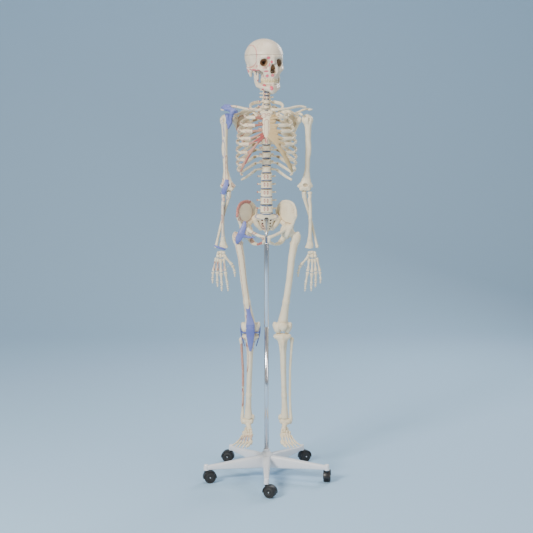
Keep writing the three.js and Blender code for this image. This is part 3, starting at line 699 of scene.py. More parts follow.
def vertebra(kind, t, low, height):
    """Body, arch, spine, wings and facets round the canal."""
    s = {k: mix(*v, t) if isinstance(v, tuple) else v for k, v in STRETCHES[kind].items()}
    z = low + height * (s["gap"] + (1 - s["gap"]) / 2)
    half = height * (1 - s["gap"]) / 2
    y = column_y(z)
    tilt = -column_tilt(z)
    back = y + s["deep"]
    drop = s["drop"] + (12 * math.sin(t * math.pi) if kind == "thoracic" else 0)
    canal = 8.5 if kind != "cervical" else 7.5
    span, arm = s["span"], s["arm"]
    bone = Clay((-span - 6, y - s["deep"] - 3, z - 42), (span + 6, back + s["tail"] + 8, z + 26), 1.5)
    bone.puck((0, y, z), (s["wide"], s["deep"]), half, waist=0.1, rim=2.2, tilt=tilt)
    lamina = back + canal + 5
    for side in (-1, 1):
        bone.rod(
            (side * canal * 1.2, back - 5, z + half * 0.35, arm),
            (side * canal * 1.25, back + 6, z + 1, arm), k=4,
        )
        bone.rod(
            (side * canal * 1.2, back + 5, z, arm), (0, lamina + 2, z - 2, arm + 0.5), k=4,
            flat=((0, 1, 0.3), 1.4),
        )
        wing_tip = (side * span, back + s["sweep"], z + 2)
        bone.rod(
            (side * canal * 1.2, back + 4, z, arm + 0.6),
            (side * mix(canal, span, 0.6), back + s["sweep"] * 0.6 + 2, z + 1, arm - 0.6),
            (*wing_tip, arm + 0.2), k=4, flat=((0, 1, 0), 1.35),
        )
        facet = s["facet"]
        bone.ball(
            (side * (canal + facet * 0.9), back + 9, z + half * 0.9),
            (facet * 0.8, facet * 0.6, facet * 1.25),
        )
        bone.ball(
            (side * (canal + facet * 0.6), back + 12, z - half * 0.95),
            (facet * 0.75, facet * 0.6, facet * 1.2),
        )
    thin = ((1, 0, 0), 2.2 if kind == "lumbar" else 1.5)
    bone.rod(
        (0, lamina, z - 1, s["tall"]),
        (0, mix(lamina, back + s["tail"], 0.6), z - drop * 0.6, s["tall"] * 0.9),
        (0, back + s["tail"], z - drop, s["tall"] * 0.95), k=4, flat=thin,
    )
    bone.rod(
        (0, back + canal * 0.62, z - 60, canal * 0.86), (0, back + canal * 0.62, z + 60, canal * 0.86),
        k=2, carve=True,
    )
    if kind == "cervical":
        for side in (-1, 1):
            hole = (side * (s["wide"] + 4.5), y + 7)
            bone.rod((*hole, z - 20, 2.4), (*hole, z + 20, 2.4), k=1.5, carve=True)
    return bone.mesh()


def column_marks(kind, low, height):
    """Small paired red marks on the fronts and on the right-hand wing tips."""
    z = low + height * 0.62
    front = column_y(z) - (17 if kind == "lumbar" else 12)
    if kind == "cervical":
        return [spot((-9, front + 8, z), (6, 8, 4.5), 0.4), spot((8, front + 8, z), (4, 8, 3.5), 0.15)]
    if kind == "thoracic":
        return [spot((-24, front + 40, z), (9, 10, 5), 0.3)]
    pairs = [spot((side * 8, front, z), (3.2, 9, 6.5), 0.45) for side in (-1, 0.6)]
    return [*pairs, spot((-42, front + 32, z), (7, 12, 7), 0.9)]


def discs(kind):
    """The discs under every vertebra of a stretch, as separate cushions in one piece."""
    s = STRETCHES[kind]
    made = []
    for i, (low, height) in enumerate(stretch_levels(s["count"], s["bottom"], s["top"])):
        t = i / (s["count"] - 1)
        wide, deep = mix(*s["wide"], t) * 0.97, mix(*s["deep"], t) * 0.97
        half = height * s["gap"] * 0.42
        z = low + height * s["gap"] / 2
        ring = lathe(
            [
                (0.2, -half), (0.92, -half), (0.99, -half * 0.5), (1.01, 0), (0.99, half * 0.5),
                (0.92, half), (0.2, half),
            ],
            40,
        )
        v = ring[0] * (wide, deep, 1)
        v[:, 2] -= v[:, 1] * math.tan(column_tilt(z))
        made.append((v + (0, column_y(z), z), ring[1]))
    return merged(*made)


def spine():
    for kind, s in STRETCHES.items():
        levels = stretch_levels(s["count"], s["bottom"], s["top"])
        for i, (low, height) in enumerate(levels):
            number = s["count"] - i
            node = [s["body"]] if i == 0 else []
            shape = vertebra(kind, i / (s["count"] - 1), low, height)
            piece(
                f"{kind}_vertebra_{number}", shape, "trunk", BONE, stands_for=node,
                paint=column_marks(kind, low, height),
            )
        piece(f"{kind}_discs", discs(kind), "trunk", DISC)


def sacrum():
    bone = Clay((-62, -14, 1000), (62, 64, 1112), 1.8)
    bone.puck((0, 6, 1094), (26, 17), 5, rim=2, tilt=0.5)
    back = ((0, 0.75, 0.55), 1.6)
    bone.rod(
        (0, 12, 1086, 27), (0, 24, 1070, 29), (0, 37, 1052, 25), (0, 44, 1036, 17), (0, 46, 1024, 8),
        k=6, flat=back,
    )
    for side in (-1, 1):
        bone.rod((side * 16, 14, 1084, 14), (side * 36, 22, 1085, 14), (side * 47, 32, 1078, 13), k=7)
        bone.rod((side * 47, 33, 1074, 14), (side * 38, 38, 1054, 12), (side * 24, 45, 1034, 8), k=6)
        bone.ball((side * 17, 30, 1102), (5, 5, 9))
    bone.rod((0, 38, 1086, 5), (0, 50, 1068, 5.5), (0, 55, 1048, 4.5), (0, 54, 1034, 3), k=6)
    bone.rod((0, 47, 1020, 6), (0, 46, 1016, 7), (0, 43, 1010, 4.5), (0, 40, 1005, 3), k=2)
    for side in (-1, 1):
        for level in range(4):
            x, y, z = side * (17 - 1.6 * level), 20 + 7.5 * level, 1076 - 13.5 * level
            bone.rod(
                (x, y - 24, z - 6, 4.2 - 0.5 * level), (x, y + 40, z + 10, 3.2 - 0.4 * level), k=2,
                carve=True,
            )
    bone.rod((0, 0, 1000, 8), (0, 0, 1080, 8), k=1, carve=True)
    holes = [(-17 + 1.6 * level, 12 + 7.5 * level, 1077 - 13.5 * level) for level in range(4)]
    ring = [spot((0, 4, 1089), (46, 60, 13), 0.0, -1), stripe(holes, 6.5, 0.35)]
    piece("sacrum_and_coccyx", bone.mesh(), "trunk", BONE, stands_for=["sacrum"], paint=ring)
    pad = loft([(0, -61, 1013, 3.1, 8), (0, -62, 1000, 3.4, 9), (0, -60, 988, 3.1, 7)], 14, 20, dome=0.4)
    piece("pubic_pad", pad, "trunk", DISC, stands_for=["pubic_disc"], rounds=0)


# ---- Pelvis ----

HIP_LOCAL = (87, -2, 1030)
CREST = [
    (117, -42, 1098), (116, -32, 1122), (105, -14, 1144), (87, 4, 1151), (68, 26, 1148), (50, 44, 1130),
    (43, 53, 1108),
]
HIP_MARKS = [
    stripe([(x + 3, y - 3, z) for x, y, z in CREST[:5]], 8, 0.85),
    spot((84, 4, 1106), (31, 60, 38), 0.04), spot((108, -34, 1082), (7, 10, 8), 0.3),
    stripe([(22, -56, 988), (38, -28, 980)], 6, 0.95), spot((20, -66, 1006), (10, 12, 6), 0.4),
    spot((48, -46, 1026), (11, 10, 6), 0.3), spot((58, 10, 990), (8, 14, 10), 0.5),
]


def hip_bone():
    bone = Clay((-2, -76, 966), (124, 66, 1158), 1.8)
    blade = ((0.75, 0.66, 0.12), 6.5)
    root = (84, 8, 1072)
    fan = []
    for tip in catmull(CREST, 14):
        fan += [(*root, 27), (*mix(np.array(root), tip, 0.86), 14)]
    bone.rod(*fan, k=5, flat=blade)
    bone.rod(*[(*p, 4.8) for p in catmull(CREST, 20)], k=6)
    bone.rod((117, -42, 1096, 5.5), (112, -34, 1078, 5), (106, -28, 1062, 6), (98, -22, 1050, 9), k=6)
    bone.rod((43, 53, 1108, 6), (47, 48, 1086, 8), (58, 40, 1070, 9), (76, 22, 1056, 14), k=7)
    bone.ball(HIP_LOCAL, 32, k=8)
    bone.rod(
        (80, -20, 1044, 10), (60, -38, 1030, 7.5), (38, -52, 1020, 7), (16, -60, 1012, 8), k=6,
        flat=((0, 0.5, 1), 1.2),
    )
    bone.rod((10, -61, 1010, 8), (9, -60, 996, 8), (14, -54, 988, 6), k=6, flat=((1, 0, 0), 1.15))
    bone.rod(
        (16, -52, 988, 6), (34, -22, 978, 6), (50, 6, 978, 8), (60, 22, 985, 11), (70, 26, 1000, 12),
        (82, 16, 1014, 14), k=6,
    )
    bone.rod((70, 30, 1014, 7), (60, 34, 1022, 4), k=5)
    bone.ball(HIP_LOCAL, 25.5, k=2, carve=True)
    bone.rod((HIP_LOCAL[0] + 4, HIP_LOCAL[1], HIP_LOCAL[2], 24.5), (150, -18, 996, 44), k=3, carve=True)
    bone.ball((62, HIP_LOCAL[1], HIP_LOCAL[2] - 2), (7, 9, 9), k=2, carve=True)
    bone.rod((70, -10, 1002, 6), (40, -28, 996, 14), (30, -40, 998, 6), k=5, carve=True)
    bone.keep(0, 3.9, True)
    return bone.mesh()


# ---- Chest ----

RIBS = [
    (64, 36, -36, 1495), (88, 45, -56, 1488), (103, 47, -64, 1457), (111, 57, -68, 1434),
    (116, 64, -71, 1405), (119, 71, -72, 1383), (120, 76, -71, 1350), (120, 84, -65, 1321),
    (119, 94, -54, 1299), (116, 102, -38, 1275), (105, 96, 2, 1258), (103, 102, 34, 1236),
]
CARTILAGES = [
    [(25, -41, 1495)], [(16, -50, 1483)], [(16, -57, 1460)], [(17, -64, 1438)],
    [(40, -75, 1415), (16, -69, 1426)], [(48, -79, 1395), (30, -79, 1405), (14, -73, 1417)],
    [(56, -81, 1364), (30, -80, 1394), (12, -76, 1409)], [(66, -77, 1345), (48, -81, 1370)],
    [(80, -68, 1320), (64, -78, 1347)], [(94, -56, 1293), (78, -69, 1321)],
]


def rib_line(number):
    """The bone's centre line from its head beside the column to its front end."""
    reach, end_x, end_y, end_z = RIBS[number - 1]
    pitch = (THORAX_TOP - LUMBAR_TOP) / 12
    head = THORAX_TOP - 10 - (number - 1) * (pitch - 1.9 + 0.17 * number)
    spine_y = column_y(head)
    back = spine_y + (30 if number == 1 else 44)
    side = math.asin(end_x / reach)
    end = side if end_y > 20 else math.pi - side
    depth = (back - end_y) / (1 - math.cos(end))
    body_half = mix(13, 19, (number - 1) / 11)
    line = [
        (body_half + 1.5, spine_y + 5, head + 4, 4.4, 5),
        (body_half + 8, spine_y + 17, head + 3, 3.2, 4),
    ]
    for t in np.linspace(0, 1, 9):
        angle = mix(math.radians(24), end, t)
        slim = 1 - 0.35 * t if number > 10 else 1 + 0.1 * t
        drop = t * t if number == 1 else 1 - (1 - t) ** mix(2.9, 2, number / 12)
        z = mix(head, end_z, drop)
        line.append((
            reach * math.sin(angle), back - depth * (1 - math.cos(angle)), z, 3.2 * slim, 6.6 * slim,
        ))
    return line


def cartilage(fused):
    """The bars from ribs 1 to 10 to the breastbone; fused ones run together along the rib arch."""
    bars = Clay((8, -92, 1262), (106, -26, 1508), 1.6)
    for number, route in enumerate(CARTILAGES, 1):
        start = rib_line(number)[-1][:3]
        line = catmull([start, *route], 8)
        size = 5.6 if fused else 4.8
        bars.rod(*[(*p, size) for p in line], k=7 if fused else 3.5, flat=((0.35, -0.94, 0), 1.5))
    routes = [catmull([rib_line(n)[-1][:3], *CARTILAGES[n - 1]], 8) for n in range(1, 8)]
    for above, below in zip(routes, routes[1:]) if fused else ():
        between = (above + below) / 2
        bars.rod(*[(*p, 6.2) for p in between[3:]], k=4, flat=((0.35, -0.94, 0), 2.2))
    edge = [
        (94, -52, 1290), (80, -64, 1320), (64, -74, 1350), (48, -77, 1374), (30, -77, 1396),
        (13, -74, 1412),
    ]
    if fused:
        bars.rod(*[(*p, 7) for p in edge], k=7, flat=((0.35, -0.94, 0), 1.8))
    return bars.mesh()


def sternum():
    bone = Clay((-32, -88, 1380), (32, -32, 1520), 1.4)
    front = ((0, -1, 0.2), 3.0)
    bone.rod((0, -43, 1502, 21), (0, -46, 1492, 21), (0, -50, 1480, 15), k=5, flat=front)
    for s in (-1, 1):
        bone.ball((s * 17, -43, 1508), (9, 6, 6), k=4)
    bone.rod(
        (0, -52, 1474, 14), (0, -58, 1455, 15.5), (0, -65, 1432, 17), (0, -71, 1416, 12), k=3,
        flat=front,
    )
    bone.rod((0, -73, 1408, 7), (0, -76, 1398, 6.5), (0, -79, 1387, 5), k=3, flat=((0, -1, 0.2), 2.2))
    bone.rod((0, -36, 1518, 8), (0, -52, 1518, 8), k=3, carve=True)
    for level, y in ((1478, -50), (1461, -57), (1447, -61), (1434, -66), (1421, -70)):
        for s in (-1, 1):
            bone.ball((s * 20, y, level), 4.5, k=2, carve=True)
    return bone.mesh()


STERNUM_MARKS = [
    stripe([(0, -60, 1472), (0, -72, 1416)], 9, 0.03), spot((-10, -52, 1496), (9, 10, 8), 0.25),
    spot((9, -52, 1500), (6, 9, 5), 0.1), spot((-4, -80, 1396), (4, 9, 12), 0.9),
    spot((6, -82, 1392), (3, 9, 10), 0.7), spot((-13, -76, 1404), (6, 9, 6), 0.8),
]


def rib_marks(number):
    """Muscle marks where the serrations meet the side and front of a rib."""
    x, y, z = rib_line(number)[-1][:3]
    side = rib_line(number)[7]
    marks = [spot((x + 16, y + 4, z + 2), (13, 14, 8), 0.12)] if number > 2 else []
    if 1 < number < 10:
        marks.append(spot(side[:3], (20, 15, 8), 0.15))
    return marks


CARTILAGE_MARKS = [
    stripe([(16, -74, 1420), (36, -86, 1404), (52, -88, 1390)], 6, 0.9),
    stripe([(14, -80, 1410), (32, -86, 1392)], 4.5, 0.85),
    stripe([(20, -60, 1482), (44, -62, 1487)], 7, 0.4),
    stripe([(20, -66, 1460), (44, -72, 1458)], 7, 0.3),
    stripe([(84, -70, 1306), (60, -88, 1350)], 3.5, 0.5),
]


def chest():
    piece("breastbone", sternum(), "trunk", BONE, stands_for=["sternum"], paint=STERNUM_MARKS)
    for side, way in SIDES.items():
        painted = side == "right"
        bars = cartilage(fused=not painted)
        piece(
            f"rib_cartilage_{side}", bars, "trunk", RED_CARTILAGE if painted else CARTILAGE, side=way,
            stands_for=[f"rib_cage_{side}"], paint=CARTILAGE_MARKS if painted else (),
        )
        for number in range(1, 13):
            node = [f"rib_{number}_{side}"] if number > 10 else []
            bar = loft(rib_line(number), 44, 14, (0.6, 0.8, 0))
            piece(
                f"rib_bone_{number}_{side}", bar, "trunk", BONE, side=way, stands_for=node,
                paint=rib_marks(number) if painted else (),
            )


# ---- Shoulder girdle ----

SHOULDER_LOCAL = (163, 30, 1478)


def scapula():
    bone = Clay((62, -12, 1356), (192, 90, 1530), 1.8)
    flat = ((0.43, 0.9, 0.05), 5)
    bone.rod((98, 60, 1470, 26), (92, 66, 1420, 16), (88, 73, 1374, 8), k=6, flat=flat)
    bone.rod((98, 60, 1470, 26), (90, 61, 1500, 16), k=6, flat=flat)
    bone.rod((76, 67, 1514, 4), (71, 72, 1480, 3.6), (76, 75, 1424, 3.8), (87, 74, 1370, 5), k=5)
    bone.rod((88, 73, 1370, 5), (104, 60, 1408, 5), (121, 46, 1448, 6), (129, 38, 1470, 9), k=5)
    bone.rod((76, 67, 1514, 4), (98, 58, 1512, 3), (116, 48, 1500, 4), k=5)
    bone.rod((120, 44, 1476, 9), (132, 34, 1477, 12.5), k=6)
    bone.rod(
        (72, 76, 1490, 2.5), (100, 74, 1498, 3), (128, 72, 1508, 4), (150, 66, 1517, 5.5), k=4,
        flat=((0, 0.3, 1), 1.3),
    )
    bone.rod((98, 64, 1492, 3), (118, 60, 1498, 5), (132, 58, 1504, 5), k=5, flat=((0, 0, 1), 2))
    bone.rod(
        (150, 66, 1517, 7), (168, 52, 1520, 10), (176, 32, 1518, 10), (173, 18, 1516, 6), k=5,
        flat=((0, 0, 1), 2.4),
    )
    bone.rod((122, 40, 1486, 8), (125, 24, 1501, 6.5), (133, 6, 1503, 5.5), (142, -4, 1497, 5), k=4)
    bone.ball(SHOULDER_LOCAL, 24.5, k=1.5, carve=True)
    return bone.mesh()


def clavicle():
    line = [
        (23, -41, 1519, 8.5, 8), (36, -45, 1518, 7, 6.5), (58, -43, 1520, 5.6, 5.2),
        (84, -31, 1522, 5.4, 5), (112, -8, 1528, 5.6, 5), (134, 9, 1531, 7, 4.6),
        (150, 18, 1529, 8.5, 4.4), (156, 21, 1527, 7.5, 4),
    ]
    return loft(line, 44, 18, (0, 1, 0))


SCAPULA_MARKS = [
    spot((98, 50, 1450), (25, 18, 44), 0.12), stripe([(92, 68, 1376), (118, 48, 1450)], 6, 0.5),
    spot((136, -2, 1500), (10, 10, 8), 0.4), spot((90, 84, 1430), (20, 14, 40), 0.1),
]


def girdles():
    for side, way in SIDES.items():
        painted = side == "right"
        piece(
            f"hip_bone_moulding_{side}", hip_bone(), "trunk", BONE, side=way,
            stands_for=[f"hip_bone_{side}"], paint=HIP_MARKS if painted else (),
        )
        piece(
            f"shoulder_blade_{side}", scapula(), "trunk", BONE, side=way,
            stands_for=[f"scapula_{side}"], paint=SCAPULA_MARKS if painted else (),
        )
        piece(
            f"collar_bone_{side}", clavicle(), "trunk", BONE, side=way, stands_for=[f"clavicle_{side}"],
            paint=[
                spot((52, -46, 1525), (22, 10, 7), 0.1), spot((130, 2, 1530), (16, 12, 7), 0.1),
            ] if painted else (),
        )


# ---- Arm ----


def swivel_pin(joint, side, centre, way, inward):
    """The steel disc a limb's ball swivels on, at the inner end of its socket."""
    verts, faces = lathe([(0.6, -1.2), (4.4, -1.2), (5, -0.8), (5, 0.8), (4.4, 1.2), (0.6, 1.2)], 28, 0)
    piece(
        f"{joint}_pin_{side}", (verts + (inward, 0, 0), faces), f"{joint}_{side}", STEEL, centre, way,
        stands_for=[f"{joint}_swivel_{side}"], rounds=0,
    )


ELBOW = np.array((-3, 0, -278))
WRIST = np.array((29, 0, -255))


def humerus():
    bone = Clay((-40, -26, -296), (34, 28, 28), 1.7)
    bone.ball((0, 0, 0), 21.6)
    bone.ball((12, -3, -3), (12.5, 14, 17), k=5)
    bone.rod(
        (4, 0, -8, 17), (5, 0, -34, 13), (5, 0, -70, 11), (5, 0, -120, 10.3), (3, 0, -180, 9.6),
        (0, 0, -226, 10.5), k=6,
    )
    bone.ball((12, -2, -118), (5, 6, 26), k=8)
    wide = ((0, 1, 0), 1.6)
    bone.rod((0, 0, -222, 12), (-2, 0, -246, 19), (-4, 0, -262, 24), k=8, flat=wide)
    bone.rod((-22, 1, -262, 9), (-31, 3, -268, 7), k=5, flat=((0, 1, 0), 1.2))
    bone.rod((14, 0, -262, 8), (19, 1, -268, 6.5), k=5)
    x, _, z = ELBOW
    bone.rod((x - 17, 0, z, 10.4), (x - 8, 0, z, 8), (x + 2, 0, z, 9.4), k=3)
    bone.ball((x + 12, -1, z), (8.5, 9.4, 9.4), k=3)
    bone.ball((x - 7, 12, z + 16), (9, 8, 10), k=4, carve=True)
    bone.ball((x - 2, -12, z + 15), (10, 6, 7), k=4, carve=True)
    bone.rod((9, -19, 12, 2.6), (8, -18, -10, 2.6), (7, -15, -30, 1.5), k=3, carve=True)
    return bone.mesh()


def ulna():
    bone = Clay((-22, -18, -246), (58, 30, 18), 1.6)
    bone.rod((-7, 17, 6, 8.5), (-7, 18, -8, 9), (-7, 8, -22, 9.5), (-6, 2, -34, 8), k=5)
    bone.rod((-7, -6, -17, 6), (-6, -2, -28, 7), k=5)
    bone.rod(
        (-6, 3, -34, 8), (-2, 6, -50, 7), (10, 10, -90, 6.2), (26, 12, -150, 5.6), (38, 9, -200, 5),
        (45, 4, -230, 5.4), k=5,
    )
    bone.ball((46.5, 2, -237), (7, 7, 6.5), k=4)
    bone.rod((50, 6, -240, 2.6), (50, 6, -244, 2), k=3)
    bone.rod((-40, 0, 0, 10.9), (40, 0, 0, 10.9), k=1.5, carve=True)
    return bone.mesh()


def radius():
    bone = Clay((-4, -20, -252), (42, 14, -8), 1.6)
    bone.puck((16, -1, -17), (8.8, 8.8), 4, rim=1.6)
    bone.rod(
        (16, -2, -20, 6.8), (16.5, -4, -34, 6.2), (14, -5, -44, 7.5), (18, -9, -70, 6.2),
        (18, -10, -120, 6.6), k=5,
    )
    bone.rod((18, -10, -120, 6.6), (18, -9, -170, 6.6), (17, -6, -205, 8), k=5)
    bone.rod((17, -6, -205, 8.6), (17, -2, -228, 14.5), (16, 0, -238, 15.5), k=6, flat=((0, 1, 0), 1.6))
    bone.rod((3, 0, -238, 6), (2, 0, -249, 4), k=5)
    bone.rod((WRIST[0] - 40, 0, WRIST[2], 12.5), (WRIST[0] + 40, 0, WRIST[2], 12.5), k=1.5, carve=True)
    return bone.mesh()


FINGERS = {
    "thumb": [(-17, -4, -22), (-50, -6, -58), (-59, -6, -85), (-60, -4, -107)],
    "index": [(-14, 0, -30), (-20, -1, -85), (-28, 4, -134), (-31, 11, -169)],
    "middle": [(-1, 0, -31), (-3, -2, -90), (-5, 4, -138), (-5, 12, -169)],
    "ring": [(9, 0, -30), (13, -1, -84), (13, 4, -127), (12, 10, -152)],
    "little": [(17, 1, -27), (30, 0, -86), (33, 4, -116), (32, 9, -136)],
}
CARPALS = [
    (-13, -1, -7, 8, 6.5, 7), (-3, 0, -5, 6.5, 7, 6), (7, 1, -7, 6, 6, 6), (10, -6, -9, 4, 4, 4.5),
    (-18, -3, -19, 6.5, 6.5, 6), (-10, 0, -21, 5, 6.5, 6), (-1, 0, -20, 6, 7.5, 9.5),
    (10, 0, -20, 7, 7, 8),
]


def small_bone(a, b, base, head, waist=0.56, gap=0.7):
    """A finger or toe bone between two joints, with flared ends."""
    a, b = np.array(a, float), np.array(b, float)
    unit = (b - a) / np.linalg.norm(b - a)
    a, b = a + unit * (gap + base * 0.45), b - unit * (gap + head * 0.45)
    sizes = (
        (0, base), (0.16, base * 0.86), (0.45, base * waist), (0.72, head * 0.72), (0.9, head * 0.96),
        (1, head),
    )
    return loft([(*(a + (b - a) * t), r, r * 0.86) for t, r in sizes], 14, 12, dome=0.5)


def digit(points, sizes, thumb=False):
    """The metacarpal or metatarsal and its phalanges, as meshes. sizes is the radius at each joint."""
    points = [np.array(p, float) for p in points]
    if not thumb:
        points.insert(3, mix(points[2], points[3], 0.56))
    ends = list(zip(points, points[1:]))
    bones = []
    for i, (a, b) in enumerate(ends):
        tip = i == len(ends) - 1
        bones.append(small_bone(a, b, sizes[i], sizes[i + 1] * (0.9 if tip else 0.92)))
    return bones


def hand(side, way):
    body, origin = f"hand_{side}", joint_at(f"wrist_bend_{side}")
    shown = {"origin": origin, "side": way, "rounds": 3}
    wrist = merged(*[pebble(c[:3], c[3:], n) for n, c in enumerate(CARPALS)])
    red = [
        spot((-12, -6, -66), (5, 8, 16), 0.5), spot((10, -6, -62), (4, 8, 16), 0.4),
        spot((24, -4, -60), (5, 8, 16), 0.3),
    ]
    piece(f"wrist_bones_{side}", wrist, body, BONE, stands_for=[f"hand_{side}"], **shown)
    for name, points in FINGERS.items():
        thumb = name == "thumb"
        sizes = (7.2, 7.4, 6.0, 3.8) if thumb else (6.8, 7.3, 6.0, 5.0, 3.5)
        if name == "little":
            sizes = tuple(s * 0.86 for s in sizes)
        for number, bone in enumerate(digit(points, sizes, thumb)):
            painted = side == "right" and number == 0
            piece(
                f"{name}_bone_{number + 1}_{side}", bone, body, BONE, paint=red if painted else (),
                **shown,
            )
    wire = loft(
        [(-40, -7, -50, 0.7), (-32, -9, -62, 0.7), (-24, -7, -68, 0.7), (-18, -5, -72, 0.7)], 14, 8,
    )
    piece(f"thumb_wire_{side}", wire, body, STEEL, **{**shown, "rounds": 0})


HUMERUS_MARKS = [
    spot((12, -8, -118), (8, 12, 34), 0.05, -1), stripe([(-3, -14, -150), (-4, -16, -244)], 8, 0.05),
    spot((19, -10, 2), (8, 10, 9), 0.1, -1), stripe([(12, -16, -14), (9, -14, -66)], 4, 0.15, -1),
    spot((-28, -8, -262), (8, 10, 9), 0.25), spot((16, -8, -250), (6, 9, 16), 0.12),
]


def arm(side, way):
    shoulder, elbow = joint_at(f"shoulder_raise_{side}"), joint_at(f"elbow_bend_{side}")
    red = side == "right"
    swivel_pin("shoulder", side, shoulder, way, -24)
    piece(
        f"upper_arm_bone_{side}", humerus(), f"upper_arm_{side}", BONE, shoulder, way,
        stands_for=[f"humerus_{side}"], paint=HUMERUS_MARKS if red else (),
    )
    piece(
        f"ulna_bone_{side}", ulna(), f"forearm_{side}", BONE, elbow, way, stands_for=[f"ulna_{side}"],
        paint=[
            spot((16, 2, -105), (7, 10, 60), 0.08), spot((0, 0, -36), (6, 8, 9), 0.1, -1),
        ] if red else (),
    )
    piece(
        f"radius_bone_{side}", radius(), f"forearm_{side}", BONE, elbow, way,
        stands_for=[f"radius_{side}"],
        paint=[
            stripe([(18, -16, -70), (19, -16, -190)], 5, 0.1, -1),
            spot((14, -10, -44), (7, 8, 9), 0.4, -1), spot((22, -14, -122), (5, 8, 16), 0.3),
        ] if red else (),
    )
    hand(side, way)


# ---- Leg ----

KNEE = np.array((-21, 10, -402))
ANKLE = np.array((12, 4, -392))


def femur():
    bone = Clay((-64, -30, -428), (56, 36, 28), 2.0)
    bone.ball((0, 0, 0), 23)
    bone.rod((4, 0, -2, 15), (20, 2, -15, 13), (34, 3, -26, 15), k=7, flat=((0, 1, 0), 1.15))
    bone.rod((40, 3, -10, 8), (42, 5, -22, 10), (37, 4, -40, 12), k=8)
    bone.rod((14, 14, -50, 7), (16, 12, -60, 6), k=8)
    bone.rod(
        (32, 2, -30, 15), (24, 0, -60, 16), (15, -5, -110, 14), (6, -8, -200, 13.2),
        (-7, -6, -290, 13.6), k=8,
    )
    bone.rod((-7, -6, -290, 13.6), (-14, -2, -335, 16.5), (-19, 4, -368, 20), k=8)
    bone.rod((24, 14, -70, 4), (13, 9, -130, 3.5), (5, 6, -200, 3.5), (-6, 8, -290, 3.5), k=6)
    x, y, z = KNEE
    bone.ball((x - 19, y, z), (17, 22, 21.2), k=9)
    bone.ball((x + 19, y, z), (16.5, 22, 21), k=9)
    bone.ball((x, y - 5, z + 14), (27, 15, 18), k=8)
    bone.ball((x - 33, y - 1, z + 14), (8, 12, 14), k=8)
    bone.ball((x + 32, y - 1, z + 12), (7, 12, 14), k=8)
    bone.rod(
        (x, y - 25, z + 20, 6), (x, y - 26, z - 4, 7), (x, y - 6, z - 26, 8), (x, y + 14, z - 16, 9),
        (x, y + 26, z + 2, 9), k=6, carve=True,
    )
    bone.ball((33, 16, -16), (5, 6, 7), k=4, carve=True)
    return bone.mesh()


def tibia():
    bone = Clay((-42, -36, -404), (42, 32, -8), 2.0)
    bone.ball((-18, 2, -34), (20, 22, 13), k=8)
    bone.ball((18, 2, -34), (18, 21, 13), k=8)
    bone.rod(
        (0, -2, -40, 24), (1, -5, -62, 18), (2, -10, -98, 13.5), (4, -8, -180, 11.6),
        (7, -4, -280, 10.6), k=8,
    )
    bone.rod((7, -4, -280, 10.6), (9, 0, -335, 12.5), (9, 3, -366, 16), k=8)
    bone.ball((2, -22, -58), (8, 8, 14), k=6)
    bone.rod((2, -25, -66, 4), (3, -20, -110, 3), (5, -17, -200, 2.6), (8, -12, -290, 2.6), k=6)
    bone.ball((9, 4, -376), (17, 16, 12), k=6)
    bone.rod((-9, 3, -372, 8), (-11, 2, -390, 6), (-11, 2, -397, 4.5), k=5)
    bone.rod((-60, 0, 0, 22.9), (60, 0, 0, 22.9), k=2, carve=True)
    bone.ball((0, 4, -23), (7, 5, 3), k=2)
    bone.rod((ANKLE[0] - 13, *ANKLE[1:], 15.4), (ANKLE[0] + 60, *ANKLE[1:], 15.4), k=2, carve=True)
    return bone.mesh()


def fibula():
    bone = Clay((20, -12, -408), (54, 28, -38), 1.6)
    bone.rod(
        (39, 12, -50, 8.5), (38, 11, -66, 5.8), (35, 9, -110, 5.2), (31, 8, -180, 5.2),
        (31, 6, -280, 5), k=5,
    )
    bone.rod(
        (31, 6, -280, 5), (33, 6, -345, 6), (35.5, 5, -378, 8), (35.5, 5, -392, 7), (35, 5, -402, 4),
        k=5, flat=((1, 0, 0), 1.15),
    )
    bone.ball((39, 13, -44), (5, 5, 5), k=4)
    return bone.mesh()


def patella():
    bone = Clay((-24, -12, -26), (24, 12, 24), 1.4)
    bone.ball((0, 0, 2), (18.5, 7, 16.5), k=3)
    bone.rod((0, 0, -6, 9), (0, 0, -17, 3.5), k=8, flat=((0, 1, 0), 1.5))
    return bone.mesh()


TOES = [
    ([(-14, -44, -44), (-13, -112, -60), (-4, -142, -63), (4, -160, -66)], (10, 10, 7.5, 4.5)),
    ([(-5, -48, -40), (3, -118, -60), (11, -142, -62), (18, -164, -67)], (6.5, 6, 4.4, 3.8, 3)),
    ([(4, -46, -41), (16, -112, -62), (25, -134, -64), (33, -154, -68)], (6.5, 5.8, 4.2, 3.6, 3)),
    ([(12, -42, -45), (29, -104, -64), (39, -124, -66), (47, -142, -69)], (6.5, 5.8, 4, 3.4, 3)),
    ([(20, -36, -52), (42, -94, -65), (53, -111, -67), (61, -126, -69)], (6.5, 5.6, 3.8, 3.2, 2.8)),
]
TARSALS = [
    ("navicular", (-7, -27, -29), (12, 5.5, 9), (30, 0, 10)),
    ("cuboid", (15, -24, -45), (8, 12, 8), (10, 0, -12)),
    ("inner_cuneiform", (-14, -38, -38), (6.5, 8, 10), (20, 0, 5)),
    ("middle_cuneiform", (-4, -38, -34), (5.5, 7, 8), (20, 0, 0)),
    ("outer_cuneiform", (5, -36, -38), (5.5, 9, 8), (20, 0, -8)),
]


def talus():
    bone = Clay((-22, -30, -34), (22, 24, 18), 1.5)
    bone.rod((-11.5, 0, 0, 13.4), (12, 0, 0, 13.4), k=3)
    bone.rod((0, 0, -10, 11), (-4, -12, -18, 10), (-7, -20, -24, 9), k=6)
    bone.rod((0, 8, -12, 9), (0, 16, -15, 5), k=5)
    bone.keep(2, -31, True)
    return bone.mesh()


